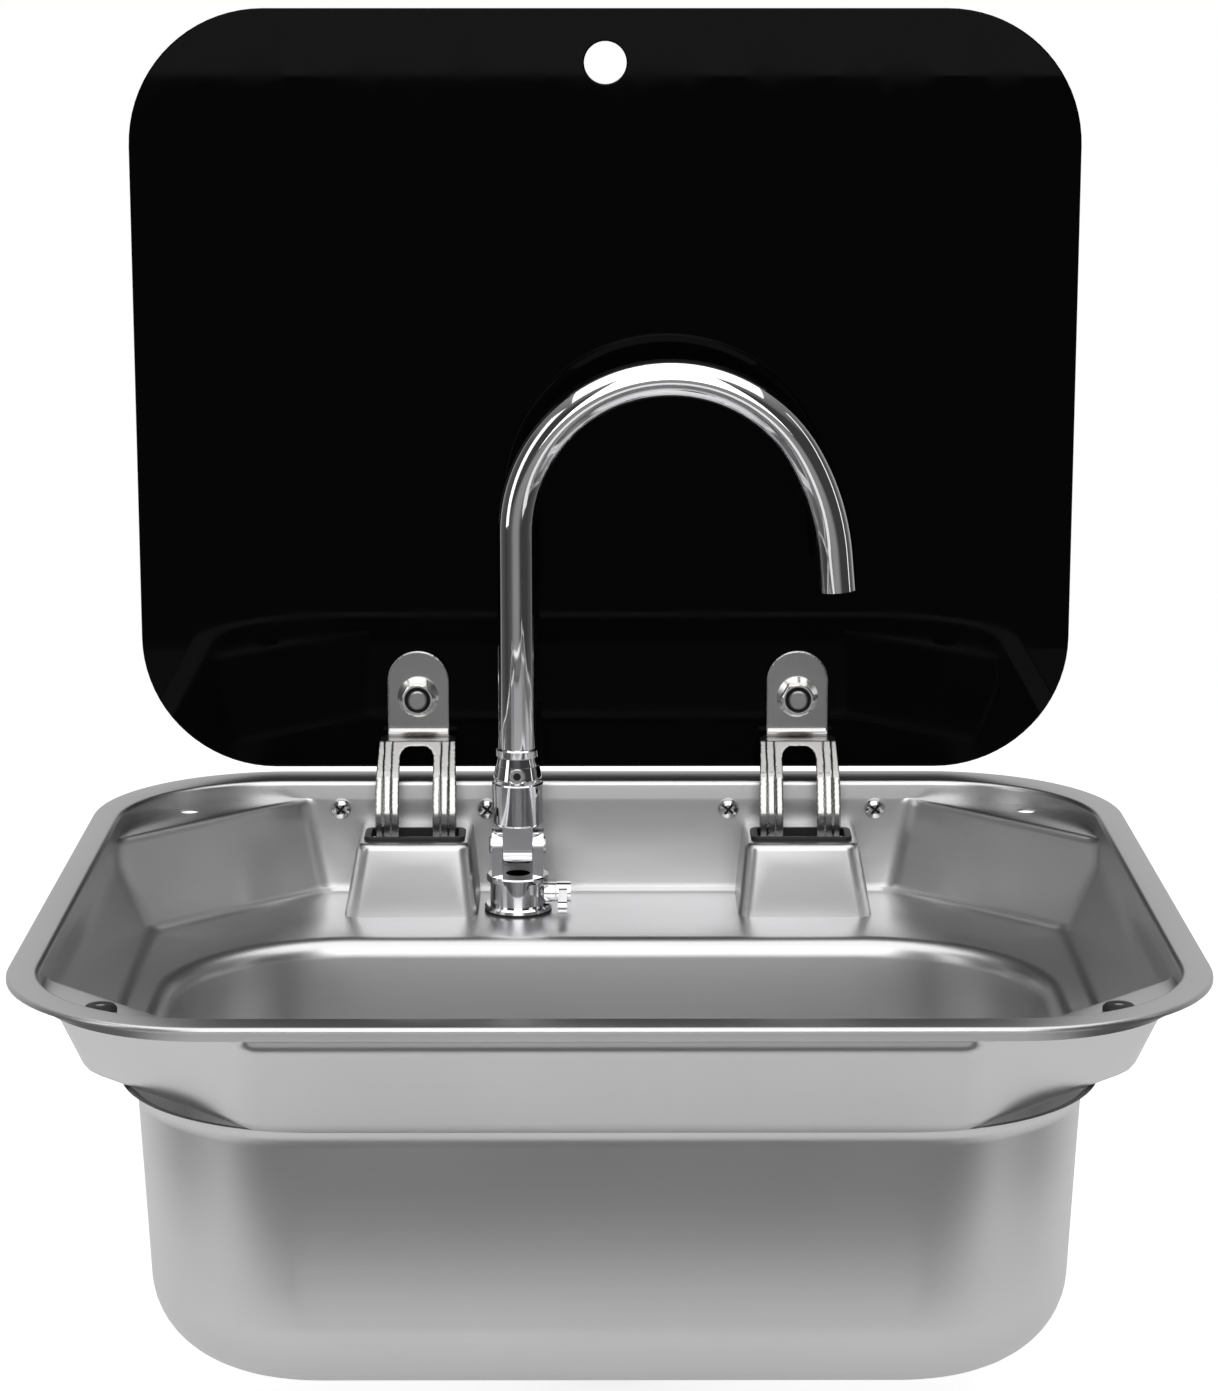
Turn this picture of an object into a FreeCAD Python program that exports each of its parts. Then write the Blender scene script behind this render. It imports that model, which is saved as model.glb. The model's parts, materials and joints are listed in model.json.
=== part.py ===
"""Drop-in hand-wash sink with a folding tap under a hinged black glass lid.

Millimetres.  X runs to the right, Y to the rear, Z up.  The origin is the middle of the
rim, on the worktop surface that the rim's turned-down edge stands on.  The lid stands
open and the tap stands upright, as the sink is shown in use.
"""
import FreeCAD
import Part
import math
import os
from FreeCAD import Vector

# ---------------------------------------------------------------- driving dimensions
SHEET = 0.8              # stainless steel of the pressed sink

RIM_WIDTH = 420.0        # outside of the rim
RIM_DEPTH = 370.0
RIM_CORNER = 75.0
RIM_HEIGHT = 2.0         # top of the rim above the worktop
RIM_EDGE_ROUND = 1.4     # outer bend of the turned-down edge
FLANGE_SIDE = 11.5       # flat border between the outer edge and the recess
FLANGE_FRONT = 12.7
FLANGE_REAR = 19.5
RECESS_CORNER = 62.0
RECESS_EDGE_ROUND = 2.0  # bend from the border down into the recess

LEDGE_DEPTH = 7.5        # corner ledges, below the top of the rim
LEDGE_CUT_REAR = 101.0   # free edge of a rear ledge, from the rim's square corner along x + y
LEDGE_CUT_FRONT = 97.0
TRAY_DEPTH = 48.0        # shelf round the bowl, below the top of the rim
TRAY_SIDE_CREASE = 19.0  # depth at which the side walls start to slope
TRAY_FRONT_CREASE = 12.0
TRAY_SIDE_INSET = 11.5   # how far a side wall slopes in
TRAY_FRONT_INSET = 24.3
TRAY_INSET_REAR = 8.0    # the same along x + y on the two rear corner walls
TRAY_INSET_FRONT = 26.5
TRAY_CORNER_ROUND = 13.0
CREASE_SOFT = 4.0        # half the height over which a wall bends at its crease
LEDGE_ROUND = 2.4
SHELF_ROUND = 4.0
SHELF_ROUND_FRONT = 2.0

BOWL_DEPTH = 151.0       # inside of the bowl's bottom, below the top of the rim
BOWL_FROM_SIDE = 41.3    # bowl's upper edge from the rim's outer edge
BOWL_FROM_FRONT = 40.8
BOWL_FROM_REAR = 97.0
BOWL_CORNER = 66.0
BOWL_MOUTH_ROUND = 7.5
BOWL_MOUTH_ROUND_FRONT = 2.5
BOWL_DRAFT = 5.0         # taper of each wall over the bowl's height
BOWL_BOTTOM_ROUND = 30.0

TOWER_FROM_SIDE = 129.5  # middle of a hinge tower from the rim's side edge
TOWER_HALF_WIDTH = 23.5
TOWER_DEPTH = 18.0       # top of a tower below the top of the rim
TOWER_FROM_REAR = 58.0   # front of a tower's top from the rim's rear edge
TOWER_FLARE_OUTER = 5.5  # how far each side leans out down to the shelf
TOWER_FLARE_INNER = 3.0
TOWER_FLARE_FRONT = 4.0
TOWER_EDGE_ROUND = 3.0

LEDGE_HOLE_FROM_SIDE = 35.5
LEDGE_HOLE_FROM_REAR = 42.0
LEDGE_HOLE_R = 3.75
BUFFER_FROM_SIDE = 36.0
BUFFER_FROM_FRONT = 45.0
BUFFER_HEAD_R = 5.7
BUFFER_STEM_R = 2.6
BUFFER_GAP = 0.3         # air under the closed lid
BUFFER_PIN_R = 1.8

LID_SIDE_GAP = 2.0       # closed lid to the sides of its recess
LID_FRONT_GAP = 4.4
LID_THICK = 5.0
LID_CORNER = 56.0
LID_SHIFT = -1.0         # the glass sits this far off the middle
LID_BOTTOM = 2.4         # lower edge above the top of the rim, lid open
LID_EDGE_BEVEL = 0.6
FINGER_HOLE_R = 8.75
FINGER_HOLE_DROP = 22.0  # hole centre below the top edge

PIVOT_FROM_REAR = 15.0   # hinge pins from the rim's rear edge
PIVOT_DEPTH = 17.0       # below the top of the rim
PIN_R = 2.0
PIN_CLEARANCE = 0.06     # radial
PIN_HEAD = 1.2
PIN_HEAD_R = 3.2
ARM_SHEET = 2.0
ARM_PAD = 1.0            # soft pad between arm and glass
ARM_TAB_WIDTH = 26.2
ARM_LEG_SPAN = 34.0
ARM_GAP_WIDTH = 14.0     # open gap between the two legs
ARM_TAB_TOP = 53.4       # above the top of the rim
ARM_STEP = 16.0          # height of the arm's horizontal step above the top of the rim
ARM_SWING_R = 23.0       # the legs follow this circle about the pivot
ARM_BARREL_R = 3.2
ARM_UNDER = 7.0          # the arm passes this far under the pivot
ARM_BEND = 2.2           # middle radius of the tight bends
ARM_SWEEP_BEND = 9.0     # and of the easy bends along the legs
ARM_STEP_REACH = 1.5     # the step ends this far in front of the pivot
ARM_SHOULDER = 6.0       # the tab widens to the legs over this much of the step
ARM_ARCH_TOP = 15.0      # top of the gap between the legs, above the rim
ARM_ARCH_CORNER = 4.5
ARM_TAPER = 0.9          # each leg leans out by this much below the step
ARM_PAD_R = 12.0
ARM_BLEND = 0.3          # tab and legs meet this far from the bends of the step
ARM_FOOT = 10.0          # web between the legs, in front of the pivot
ARM_RIB_WIDTH = 3.2
ARM_RIB_HEIGHT = 0.7
BOLT_ABOVE_RIM = 33.6
BOLT_R = 4.0
BOLT_HOLE_R = 4.4
GLASS_HOLE_R = 5.0
NUT_FLATS = 13.0
NUT_FLANGE_R = 8.7
NUT_FLANGE_THICK = 1.6
NUT_HEIGHT = 7.2
BOLT_END = 1.4           # bolt beyond its nut
BOLT_CAP_R = 9.5
BOLT_CAP_HEIGHT = 3.6
BOLT_WASHER_THICK = 0.8

SLOT_BEHIND_FRONT = 15.5  # middle of the slot behind the front of a tower's top
GASKET_WIDTH = 42.0
GASKET_DEPTH = 19.0
GASKET_OPEN_WIDTH = 36.4
GASKET_OPEN_DEPTH = 14.6
GASKET_LIP = 1.5         # height of the rubber above the tower
GASKET_NECK = 1.2        # rubber between the opening and the steel
GASKET_UNDER = 1.2
GASKET_CORNER = 2.0

BRACKET_SHEET = 2.0
BRACKET_SCREW_OUT = 32.5  # screws from the tower's middle, outwards and inwards
BRACKET_SCREW_IN = 29.5
BRACKET_MARGIN = 5.0
BRACKET_CORNER = 2.0
BRACKET_TOP_DEPTH = 4.2
BRACKET_LOW_DEPTH = 17.0
BRACKET_SIDE_GAP = 0.5    # arm to bracket ear
EAR_REACH = 5.6           # ear beyond the pivot, to the rear and below
SCREW_DEPTH = 12.0
SCREW_R = 2.0
SCREW_HEAD_R = 4.4
SCREW_HEAD_HEIGHT = 2.4
SCREW_NUT_FLATS = 7.0
SCREW_NUT_HEIGHT = 3.0
SCREW_END = 1.0

TAP_FROM_TOWER = 43.0    # tap's axis from the middle of the left tower
TAP_FROM_REAR = 49.0
TAP_WASHER = 1.0
TAP_FOOT_R = 14.0
TAP_FOOT_THICK = 2.0
TAP_BODY_R = 11.6
TAP_BODY_HEIGHT = 10.0
TAP_SHANK_R = 10.4
TAP_SHANK_LENGTH = 32.0
TAP_NUT_FLATS = 30.0
TAP_NUT_HEIGHT = 6.0
TAP_HOLE_R = 10.9
TAP_BORE_R = 6.0
TAP_STEM_R = 6.0         # stem for the supply hose, below the threaded shank
TAP_STEM_LENGTH = 18.0
TAP_STEM_WALL = 1.8
TAP_WASHER_R = 15.0
TAP_LOWER_SEAL = 2.0
TAP_LOWER_WASHER = 1.5
SWIVEL_R = 7.4
SWIVEL_LENGTH = 4.5
SWIVEL_CLEARANCE = 0.06
HEAD_R = 13.0            # swivelling collar
HEAD_THICK = 2.4
RUNNING_GAP = 0.3
FOLD_DEPTH = 20.0        # fold pin below the top of the rim
EYE_R = 8.0
EYE_WIDTH = 12.0
EAR_THICK = 4.4
EAR_R = 7.0
FOLD_PIN_R = 2.5
KNUCKLE_R = 10.6
KNUCKLE_NECK_R = 9.0
KNUCKLE_STEP = 7.5       # shoulder between the two, above the top of the rim
KNUCKLE_TOP = 21.5
KNUCKLE_UP = 9.0         # barrel starts this far above the fold pin
SPOUT_R = 8.0
SPOUT_WALL = 1.2
SPOUT_SOCKET = 16.0      # length of tube held in the knuckle
SPOUT_ARCH_TOP = 174.6   # centre line above the top of the rim
SPOUT_ARCH_R = 63.0
SPOUT_ARCH_END = 60.0    # degrees past the top at which the tight bend ends
SPOUT_EASY_R = 99.0
SPOUT_EASY_TURN = 25.0
SPOUT_TAIL = 14.8
SPOUT_SCREW_R = 3.2
SPOUT_SCREW_UP = 11.0    # above the top of the rim
SPOUT_SCREW_PROUD = 0.5
SPOUT_SOCKET_R = 1.6
OUTLET_LENGTH = 6.0
OUTLET_HOLE_R = 1.5

VALVE_UP = 4.6           # valve axis above the tap's foot
VALVE_BOSS_R = 4.2
VALVE_BOSS_END = 15.6    # boss face from the tap's axis
LEVER_HUB_R = 4.4
LEVER_HUB_LENGTH = 6.0
LEVER_LENGTH = 27.0
LEVER_WIDTH = 5.0
LEVER_SPINDLE_R = 2.0

DRAIN_REARWARD = 2.1     # waste outlet behind the middle of the bowl
DRAIN_RECESS_R = 33.0
DRAIN_RECESS_DEPTH = 2.4
DRAIN_RECESS_LEAN = 1.5
DRAIN_HOLE_R = 21.5
DRAIN_RIM_R = 31.0
DRAIN_RIM_THICK = 1.4
DRAIN_TUBE_R = 20.5
DRAIN_BORE_R = 17.5
DRAIN_TUBE_LENGTH = 17.0
DRAIN_SEAT_R = 20.2      # wide end of the tapered seat
DRAIN_SEAT_DEPTH = 2.6
DRAIN_GASKET = 1.6
DRAIN_NUT_R = 27.0
DRAIN_NUT_HEIGHT = 6.0
DRAIN_CUP_R = 24.5
DRAIN_CUP_GRIP = 6.5     # length of waste tube inside the cup
DRAIN_CUP_WALL = 2.0
TAIL_R = 12.5
TAIL_BORE_R = 10.0
TAIL_LENGTH = 11.0
PLUG_SINK = 1.8          # depth of the stopper in its seat
PLUG_KNOB_R = 4.0

FIT = 0.05               # radial play of pieces that are screwed or pushed together

# ---------------------------------------------------------------- derived places
UP = Vector(0, 0, 1)
DOWN = Vector(0, 0, -1)
SIDEWAYS = Vector(1, 0, 0)
REARWARDS = Vector(0, 1, 0)
FORWARDS = Vector(0, -1, 0)
REAR_EDGE = RIM_DEPTH / 2 - FLANGE_REAR
FRONT_EDGE = -(RIM_DEPTH / 2 - FLANGE_FRONT)
SIDE_EDGE = RIM_WIDTH / 2 - FLANGE_SIDE
LEDGE_DIAGONAL_REAR = (RIM_WIDTH + RIM_DEPTH) / 2 - LEDGE_CUT_REAR
LEDGE_DIAGONAL_FRONT = (RIM_WIDTH + RIM_DEPTH) / 2 - LEDGE_CUT_FRONT
BOWL_HALF_WIDTH = RIM_WIDTH / 2 - BOWL_FROM_SIDE
BOWL_FRONT = BOWL_FROM_FRONT - RIM_DEPTH / 2
BOWL_REAR = RIM_DEPTH / 2 - BOWL_FROM_REAR
DRAIN_Y = (BOWL_FRONT + BOWL_REAR) / 2 + DRAIN_REARWARD
TOWER_CENTRE = RIM_WIDTH / 2 - TOWER_FROM_SIDE
TOWER_FRONT = RIM_DEPTH / 2 - TOWER_FROM_REAR
SLOT_Y = TOWER_FRONT + SLOT_BEHIND_FRONT
LEDGE_HOLE_X = RIM_WIDTH / 2 - LEDGE_HOLE_FROM_SIDE
LEDGE_HOLE_Y = RIM_DEPTH / 2 - LEDGE_HOLE_FROM_REAR
BUFFER_X = RIM_WIDTH / 2 - BUFFER_FROM_SIDE
BUFFER_Y = BUFFER_FROM_FRONT - RIM_DEPTH / 2
TAP_X = TAP_FROM_TOWER - TOWER_CENTRE
TAP_Y = RIM_DEPTH / 2 - TAP_FROM_REAR
PIVOT_Y = RIM_DEPTH / 2 - PIVOT_FROM_REAR
LID_FACE_Y = PIVOT_Y + PIVOT_DEPTH - LID_THICK
ARM_Y = LID_FACE_Y - ARM_PAD - ARM_SHEET / 2


def level(depth):
    """Height of a point that lies `depth` below the top of the rim."""
    return RIM_HEIGHT - depth


PIVOT_Z = level(PIVOT_DEPTH)
SHELF_Z = level(TRAY_DEPTH)
TOWER_Z = level(TOWER_DEPTH)
BOTTOM_Z = level(BOWL_DEPTH)
DRAIN_SEAT_Z = BOTTOM_Z - DRAIN_RECESS_DEPTH
BOLT_Z = RIM_HEIGHT + BOLT_ABOVE_RIM
FOLD_Z = level(FOLD_DEPTH)
SPOUT_SCREW_Z = RIM_HEIGHT + SPOUT_SCREW_UP
HEAD_Z = SHELF_Z + TAP_WASHER + TAP_FOOT_THICK + TAP_BODY_HEIGHT + RUNNING_GAP
VALVE_Z = SHELF_Z + TAP_WASHER + TAP_FOOT_THICK + VALVE_UP
BUFFER_HEIGHT = LEDGE_DEPTH - LID_THICK - BUFFER_GAP
LID_WIDTH = 2 * (SIDE_EDGE - LID_SIDE_GAP)
LID_HEIGHT = PIVOT_Y - PIVOT_DEPTH - LID_BOTTOM - FRONT_EDGE - LID_FRONT_GAP
TAP_SHANK_END = TAP_WASHER - TAP_SHANK_LENGTH


# ---------------------------------------------------------------- shape helpers
def save(shape, node):
    shape.exportStep("parts/" + node + ".step")


def cylinder(radius, height, base, direction=Vector(0, 0, 1)):
    return Part.makeCylinder(radius, height, base, direction)


def box(x0, x1, y0, y1, z0, z1):
    return Part.makeBox(x1 - x0, y1 - y0, z1 - z0, Vector(x0, y0, z0))


def arc_between(start, corner, end, radius):
    """Points where an arc of `radius` rounds the corner, and the arc's own middle."""
    back = (start - corner).normalize()
    ahead = (end - corner).normalize()
    half = back.getAngle(ahead) / 2
    reach = radius / math.tan(half)
    first = corner + back * reach
    last = corner + ahead * reach
    middle = corner + (back + ahead).normalize() * (radius / math.sin(half) - radius)
    return first, middle, last


def rounded_wire(points, radii, closed=True):
    """Straight runs through the points, each corner rounded by its radius (0 = sharp)."""
    count = len(points)
    joints = []
    for i, (point, radius) in enumerate(zip(points, radii)):
        inner = closed or 0 < i < count - 1
        if inner and radius > 0:
            joints.append(arc_between(points[i - 1], point, points[(i + 1) % count], radius))
        else:
            joints.append((point, None, point))
    edges = []
    for i, (first, middle, last) in enumerate(joints):
        if middle:
            edges.append(Part.Arc(first, middle, last).toShape())
        if i < count - 1 or closed:
            following = joints[(i + 1) % count][0]
            if (following - last).Length > 1e-6:
                edges.append(Part.LineSegment(last, following).toShape())
    return Part.Wire(edges)


def prism(points, radii, sweep):
    """Solid swept from a closed outline with rounded corners."""
    return Part.Face(rounded_wire(points, radii)).extrude(sweep)


def plate(x_half, y0, y1, corner, z0, z1, x_mid=0.0):
    """Upright block with a rounded rectangular plan."""
    points = [Vector(x_mid - x_half, y0, z0), Vector(x_mid + x_half, y0, z0),
              Vector(x_mid + x_half, y1, z0), Vector(x_mid - x_half, y1, z0)]
    return prism(points, [corner] * 4, Vector(0, 0, z1 - z0))


def outline(x_half, y0, y1, corner, z):
    """Rounded rectangular wire, for lofts."""
    points = [Vector(-x_half, y0, z), Vector(x_half, y0, z),
              Vector(x_half, y1, z), Vector(-x_half, y1, z)]
    return rounded_wire(points, [corner] * 4)


def turned(profile, centre, axis=Vector(0, 0, 1)):
    """Solid of revolution: (radius, height) points about an axis through the centre."""
    points = [Vector(radius, 0, height) for radius, height in profile]
    face = Part.Face(Part.makePolygon(points + [points[0]]))
    solid = face.revolve(Vector(0, 0, 0), Vector(0, 0, 1), 360)
    solid.Placement = FreeCAD.Placement(centre, FreeCAD.Rotation(Vector(0, 0, 1), axis))
    return solid


def hexagon(flats, height, base, direction):
    """Hexagonal prism on an axis, before its own hole and bevels."""
    corner = flats / math.sqrt(3)
    points = [Vector(corner * math.cos(math.radians(60 * i)),
                     corner * math.sin(math.radians(60 * i)), 0) for i in range(6)]
    solid = Part.Face(Part.makePolygon(points + [points[0]])).extrude(Vector(0, 0, height))
    bevel = turned([(0, 0), (corner * 1.2, 0), (corner * 1.2, height - corner * 0.25),
                    (flats / 2 * 0.96, height), (0, height)], Vector(0, 0, 0))
    solid = solid.common(bevel)
    solid.Placement = FreeCAD.Placement(base, FreeCAD.Rotation(Vector(0, 0, 1), direction))
    return solid


def edges_where(shape, test):
    return [edge for edge in shape.Edges if test(edge)]


def flat_at(edge, z, tolerance=0.02):
    """True for an edge that lies in the level plane z."""
    bounds = edge.BoundBox
    return abs(bounds.ZMin - z) < tolerance and abs(bounds.ZMax - z) < tolerance


# ---------------------------------------------------------------- pressed sink
def soft_ramp(depth, start, end, total, soften):
    """Inset of a wall that stands upright down to `start` and leans in by `total` at `end`."""
    slope = total / (end - start)
    beyond = depth - start
    if beyond <= -soften:
        return 0.0
    if beyond >= soften:
        return slope * beyond
    return slope * (beyond + soften) ** 2 / (4 * soften)


def outside_bend(radius, grow, steps):
    """(outward, down) steps of a bend over an edge that the sheet wraps, from flat to upright."""
    for step in range(steps + 1):
        turn = math.radians(90 * step / steps)
        yield radius - (radius - grow) * math.sin(turn), radius - (radius - grow) * math.cos(turn)


def inside_bend(radius, grow, steps):
    """(inward, down) steps of a bend at the foot of a wall, from upright to flat."""
    for step in range(steps + 1):
        turn = math.radians(90 * step / steps)
        yield radius - (radius + grow) * math.cos(turn), (radius + grow) * math.sin(turn)


def tray_wire(depth, grow, brow, foot, foot_front):
    """Eight-sided outline of the tray, rounded at its corners, at one depth."""
    front_slope = math.atan2(TRAY_FRONT_INSET, TRAY_DEPTH - TRAY_FRONT_CREASE)
    side = SIDE_EDGE + grow - foot - soft_ramp(depth, TRAY_SIDE_CREASE, TRAY_DEPTH,
                                               TRAY_SIDE_INSET, CREASE_SOFT)
    front = -FRONT_EDGE + grow / math.cos(front_slope) - foot_front
    front -= soft_ramp(depth, TRAY_FRONT_CREASE, TRAY_DEPTH, TRAY_FRONT_INSET, CREASE_SOFT / 2)
    rear = REAR_EDGE + grow - foot
    lean = (depth - LEDGE_DEPTH) / (TRAY_DEPTH - LEDGE_DEPTH)
    move = (grow + brow - foot) * math.sqrt(2)
    diagonal_rear = LEDGE_DIAGONAL_REAR + move - TRAY_INSET_REAR * lean
    diagonal_front = LEDGE_DIAGONAL_FRONT + move - TRAY_INSET_FRONT * lean
    right = [(side, side - diagonal_front), (side, diagonal_rear - side),
             (diagonal_rear - rear, rear)]
    left = [(-x, y) for x, y in reversed(right)]
    front_run = [(front - diagonal_front, -front), (diagonal_front - front, -front)]
    points = [Vector(x, y, level(depth)) for x, y in right + left + front_run]
    return rounded_wire(points, [TRAY_CORNER_ROUND] * len(points))


def tray(grow):
    """Tray under the corner ledges: upright walls that lean in, over a flat shelf."""
    wires = [tray_wire(LEDGE_DEPTH + down, grow, out - grow, 0, 0)
             for out, down in outside_bend(LEDGE_ROUND, grow, 3)]
    creases = [TRAY_FRONT_CREASE + CREASE_SOFT * share for share in (-0.25, 0.1, 0.5)]
    creases += [TRAY_SIDE_CREASE + CREASE_SOFT * share for share in (-0.6, 0, 0.5, 1)]
    wires += [tray_wire(depth, grow, 0, 0, 0) for depth in creases]
    front_share = math.tan(math.atan2(TRAY_DEPTH - TRAY_FRONT_CREASE, TRAY_FRONT_INSET) / 2)
    front_share *= SHELF_ROUND_FRONT / SHELF_ROUND
    wires += [tray_wire(TRAY_DEPTH - SHELF_ROUND + down, grow, 0, inward + grow,
                        (inward + grow) * front_share)
              for inward, down in inside_bend(SHELF_ROUND, grow, 3)]
    return Part.makeLoft(wires, True, True)


def recess(grow):
    """Round-cornered recess for the lid, from the rim down to the corner ledges."""
    wires = [outline(SIDE_EDGE + out, FRONT_EDGE - out, REAR_EDGE + out, RECESS_CORNER + out,
                     RIM_HEIGHT - down)
             for out, down in outside_bend(RECESS_EDGE_ROUND, grow, 4)]
    wires.append(outline(SIDE_EDGE + grow, FRONT_EDGE - grow, REAR_EDGE + grow,
                         RECESS_CORNER + grow, level(LEDGE_DEPTH) - grow))
    return Part.makeLoft(wires, True, True)


def mouth(grow):
    """Rounded brim from the shelf into the bowl, tighter along the front."""
    front_share = BOWL_MOUTH_ROUND_FRONT / BOWL_MOUTH_ROUND
    wires = [outline(BOWL_HALF_WIDTH + out, BOWL_FRONT - grow - (out - grow) * front_share,
                     BOWL_REAR + out, BOWL_CORNER + out, SHELF_Z - down)
             for out, down in outside_bend(BOWL_MOUTH_ROUND, grow, 4)]
    return Part.makeLoft(wires, True, True)


def bowl(grow):
    """Tapered bowl with a generously rounded bottom."""
    top = SHELF_Z - BOWL_MOUTH_ROUND
    bottom = BOTTOM_Z - grow
    inset = BOWL_DRAFT * (top - bottom) / (SHELF_Z - BOTTOM_Z) - grow
    wide = outline(BOWL_HALF_WIDTH + grow, BOWL_FRONT - grow, BOWL_REAR + grow,
                   BOWL_CORNER + grow, top)
    narrow = outline(BOWL_HALF_WIDTH - inset, BOWL_FRONT + inset, BOWL_REAR - inset,
                     BOWL_CORNER - inset, bottom)
    hollow = Part.makeLoft([wide, narrow], True, True)
    return hollow.makeFillet(BOWL_BOTTOM_ROUND + grow,
                             edges_where(hollow, lambda edge: flat_at(edge, bottom)))


def drain_recess(grow):
    """Shallow dish round the waste outlet."""
    bottom = DRAIN_SEAT_Z - grow
    return Part.makeCone(DRAIN_RECESS_R + grow - DRAIN_RECESS_LEAN, DRAIN_RECESS_R + grow,
                         BOTTOM_Z - bottom, Vector(0, DRAIN_Y, bottom))


def tower(side, shrink):
    """Block that raises the shelf under one hinge; side is -1 left or +1 right."""
    top = TOWER_Z - shrink
    bottom = SHELF_Z - 10
    lean = (top - bottom) / (TOWER_Z - SHELF_Z)
    rear = RIM_DEPTH / 2 + 20
    half = TOWER_HALF_WIDTH - shrink

    def section(outer, inner, front, z):
        outside = side * (TOWER_CENTRE + half + outer)
        inside = side * (TOWER_CENTRE - half - inner)
        low, high = min(outside, inside), max(outside, inside)
        y_front = TOWER_FRONT + shrink - front
        return Part.makePolygon([Vector(low, y_front, z), Vector(high, y_front, z),
                                 Vector(high, rear, z), Vector(low, rear, z),
                                 Vector(low, y_front, z)])

    block = Part.makeLoft([section(TOWER_FLARE_OUTER * lean, TOWER_FLARE_INNER * lean,
                                   TOWER_FLARE_FRONT * lean, bottom),
                           section(0, 0, 0, top)], True, True)
    posts = edges_where(block, lambda edge: edge.BoundBox.ZLength > 5
                        and edge.CenterOfMass.y < TOWER_FRONT + 5)
    block = block.makeFillet(2 * TOWER_EDGE_ROUND - shrink, posts)
    brow = edges_where(block, lambda edge: flat_at(edge, top)
                       and edge.CenterOfMass.y < rear - 1)
    return block.makeFillet(TOWER_EDGE_ROUND - shrink, brow)


def hollow_space(grow):
    """Everything inside the pressed sheet; `grow` moves each wall outwards."""
    space = tray(grow)
    for side in (-1, 1):
        space = space.cut(tower(side, grow))
    for part in (recess(grow), mouth(grow), bowl(grow), drain_recess(grow)):
        space = space.fuse(part)
    return space


def rim():
    """Flat border with its turned-down outer edge, still closed across the middle."""
    block = plate(RIM_WIDTH / 2, -RIM_DEPTH / 2, RIM_DEPTH / 2, RIM_CORNER, 0, RIM_HEIGHT)
    block = block.makeFillet(RIM_EDGE_ROUND,
                             edges_where(block, lambda edge: flat_at(edge, RIM_HEIGHT)))
    under = plate(RIM_WIDTH / 2 - SHEET, -RIM_DEPTH / 2 + SHEET, RIM_DEPTH / 2 - SHEET,
                  RIM_CORNER - SHEET, -1, RIM_HEIGHT - SHEET)
    under = under.makeFillet(RIM_EDGE_ROUND - SHEET,
                             edges_where(under, lambda edge: flat_at(edge, RIM_HEIGHT - SHEET)))
    return block.cut(under)


def sink_bowl():
    shell = rim().fuse(hollow_space(SHEET)).cut(hollow_space(0))
    holes = []
    for side in (-1, 1):
        ledge = level(LEDGE_DEPTH) - 2
        holes.append(cylinder(LEDGE_HOLE_R, 4, Vector(side * LEDGE_HOLE_X, LEDGE_HOLE_Y, ledge)))
        holes.append(cylinder(BUFFER_STEM_R + FIT, 4, Vector(side * BUFFER_X, BUFFER_Y, ledge)))
        holes.append(slot_block(side, GASKET_NECK + FIT, TOWER_Z - 3, TOWER_Z + 3))
        for place in screw_places(side):
            holes.append(cylinder(SCREW_R + FIT, 4, place - Vector(0, 1, 0), REARWARDS))
    holes.append(cylinder(TAP_HOLE_R, 4, Vector(TAP_X, TAP_Y, SHELF_Z - 2)))
    holes.append(cylinder(DRAIN_HOLE_R, 8, Vector(0, DRAIN_Y, DRAIN_SEAT_Z - 4)))
    return shell.cut(holes)


# ---------------------------------------------------------------- lid rests and slot rubbers
def lid_buffers():
    """Rubber buttons on the front ledges that the closed lid lies on."""
    base = level(LEDGE_DEPTH)
    head = BUFFER_HEIGHT
    profile = [(BUFFER_PIN_R, -SHEET - 2.4), (BUFFER_STEM_R - 0.2, -SHEET - 2.4),
               (BUFFER_STEM_R + 0.9, -SHEET - 0.8), (BUFFER_STEM_R + 0.9, -SHEET),
               (BUFFER_STEM_R, -SHEET), (BUFFER_STEM_R, 0), (BUFFER_HEAD_R, 0),
               (BUFFER_HEAD_R, head * 0.45), (BUFFER_HEAD_R * 0.86, head * 0.85),
               (BUFFER_HEAD_R * 0.62, head), (BUFFER_PIN_R, head)]
    return pair(lambda side: turned(profile, Vector(side * BUFFER_X, BUFFER_Y, base)))


def buffer_pins():
    """Pins pushed down the middle of the buttons to spread their stems."""
    base = level(LEDGE_DEPTH) - SHEET - 2.0
    length = BUFFER_HEIGHT + SHEET + 1.7
    return pair(lambda side: cylinder(BUFFER_PIN_R - FIT, length,
                                      Vector(side * BUFFER_X, BUFFER_Y, base)))


def slot_block(side, wider, z0, z1):
    """Rounded block through a tower's slot, `wider` than the rubber's opening all round."""
    return plate(GASKET_OPEN_WIDTH / 2 + wider, SLOT_Y - GASKET_OPEN_DEPTH / 2 - wider,
                 SLOT_Y + GASKET_OPEN_DEPTH / 2 + wider, GASKET_CORNER + wider, z0, z1,
                 side * TOWER_CENTRE)


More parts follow.
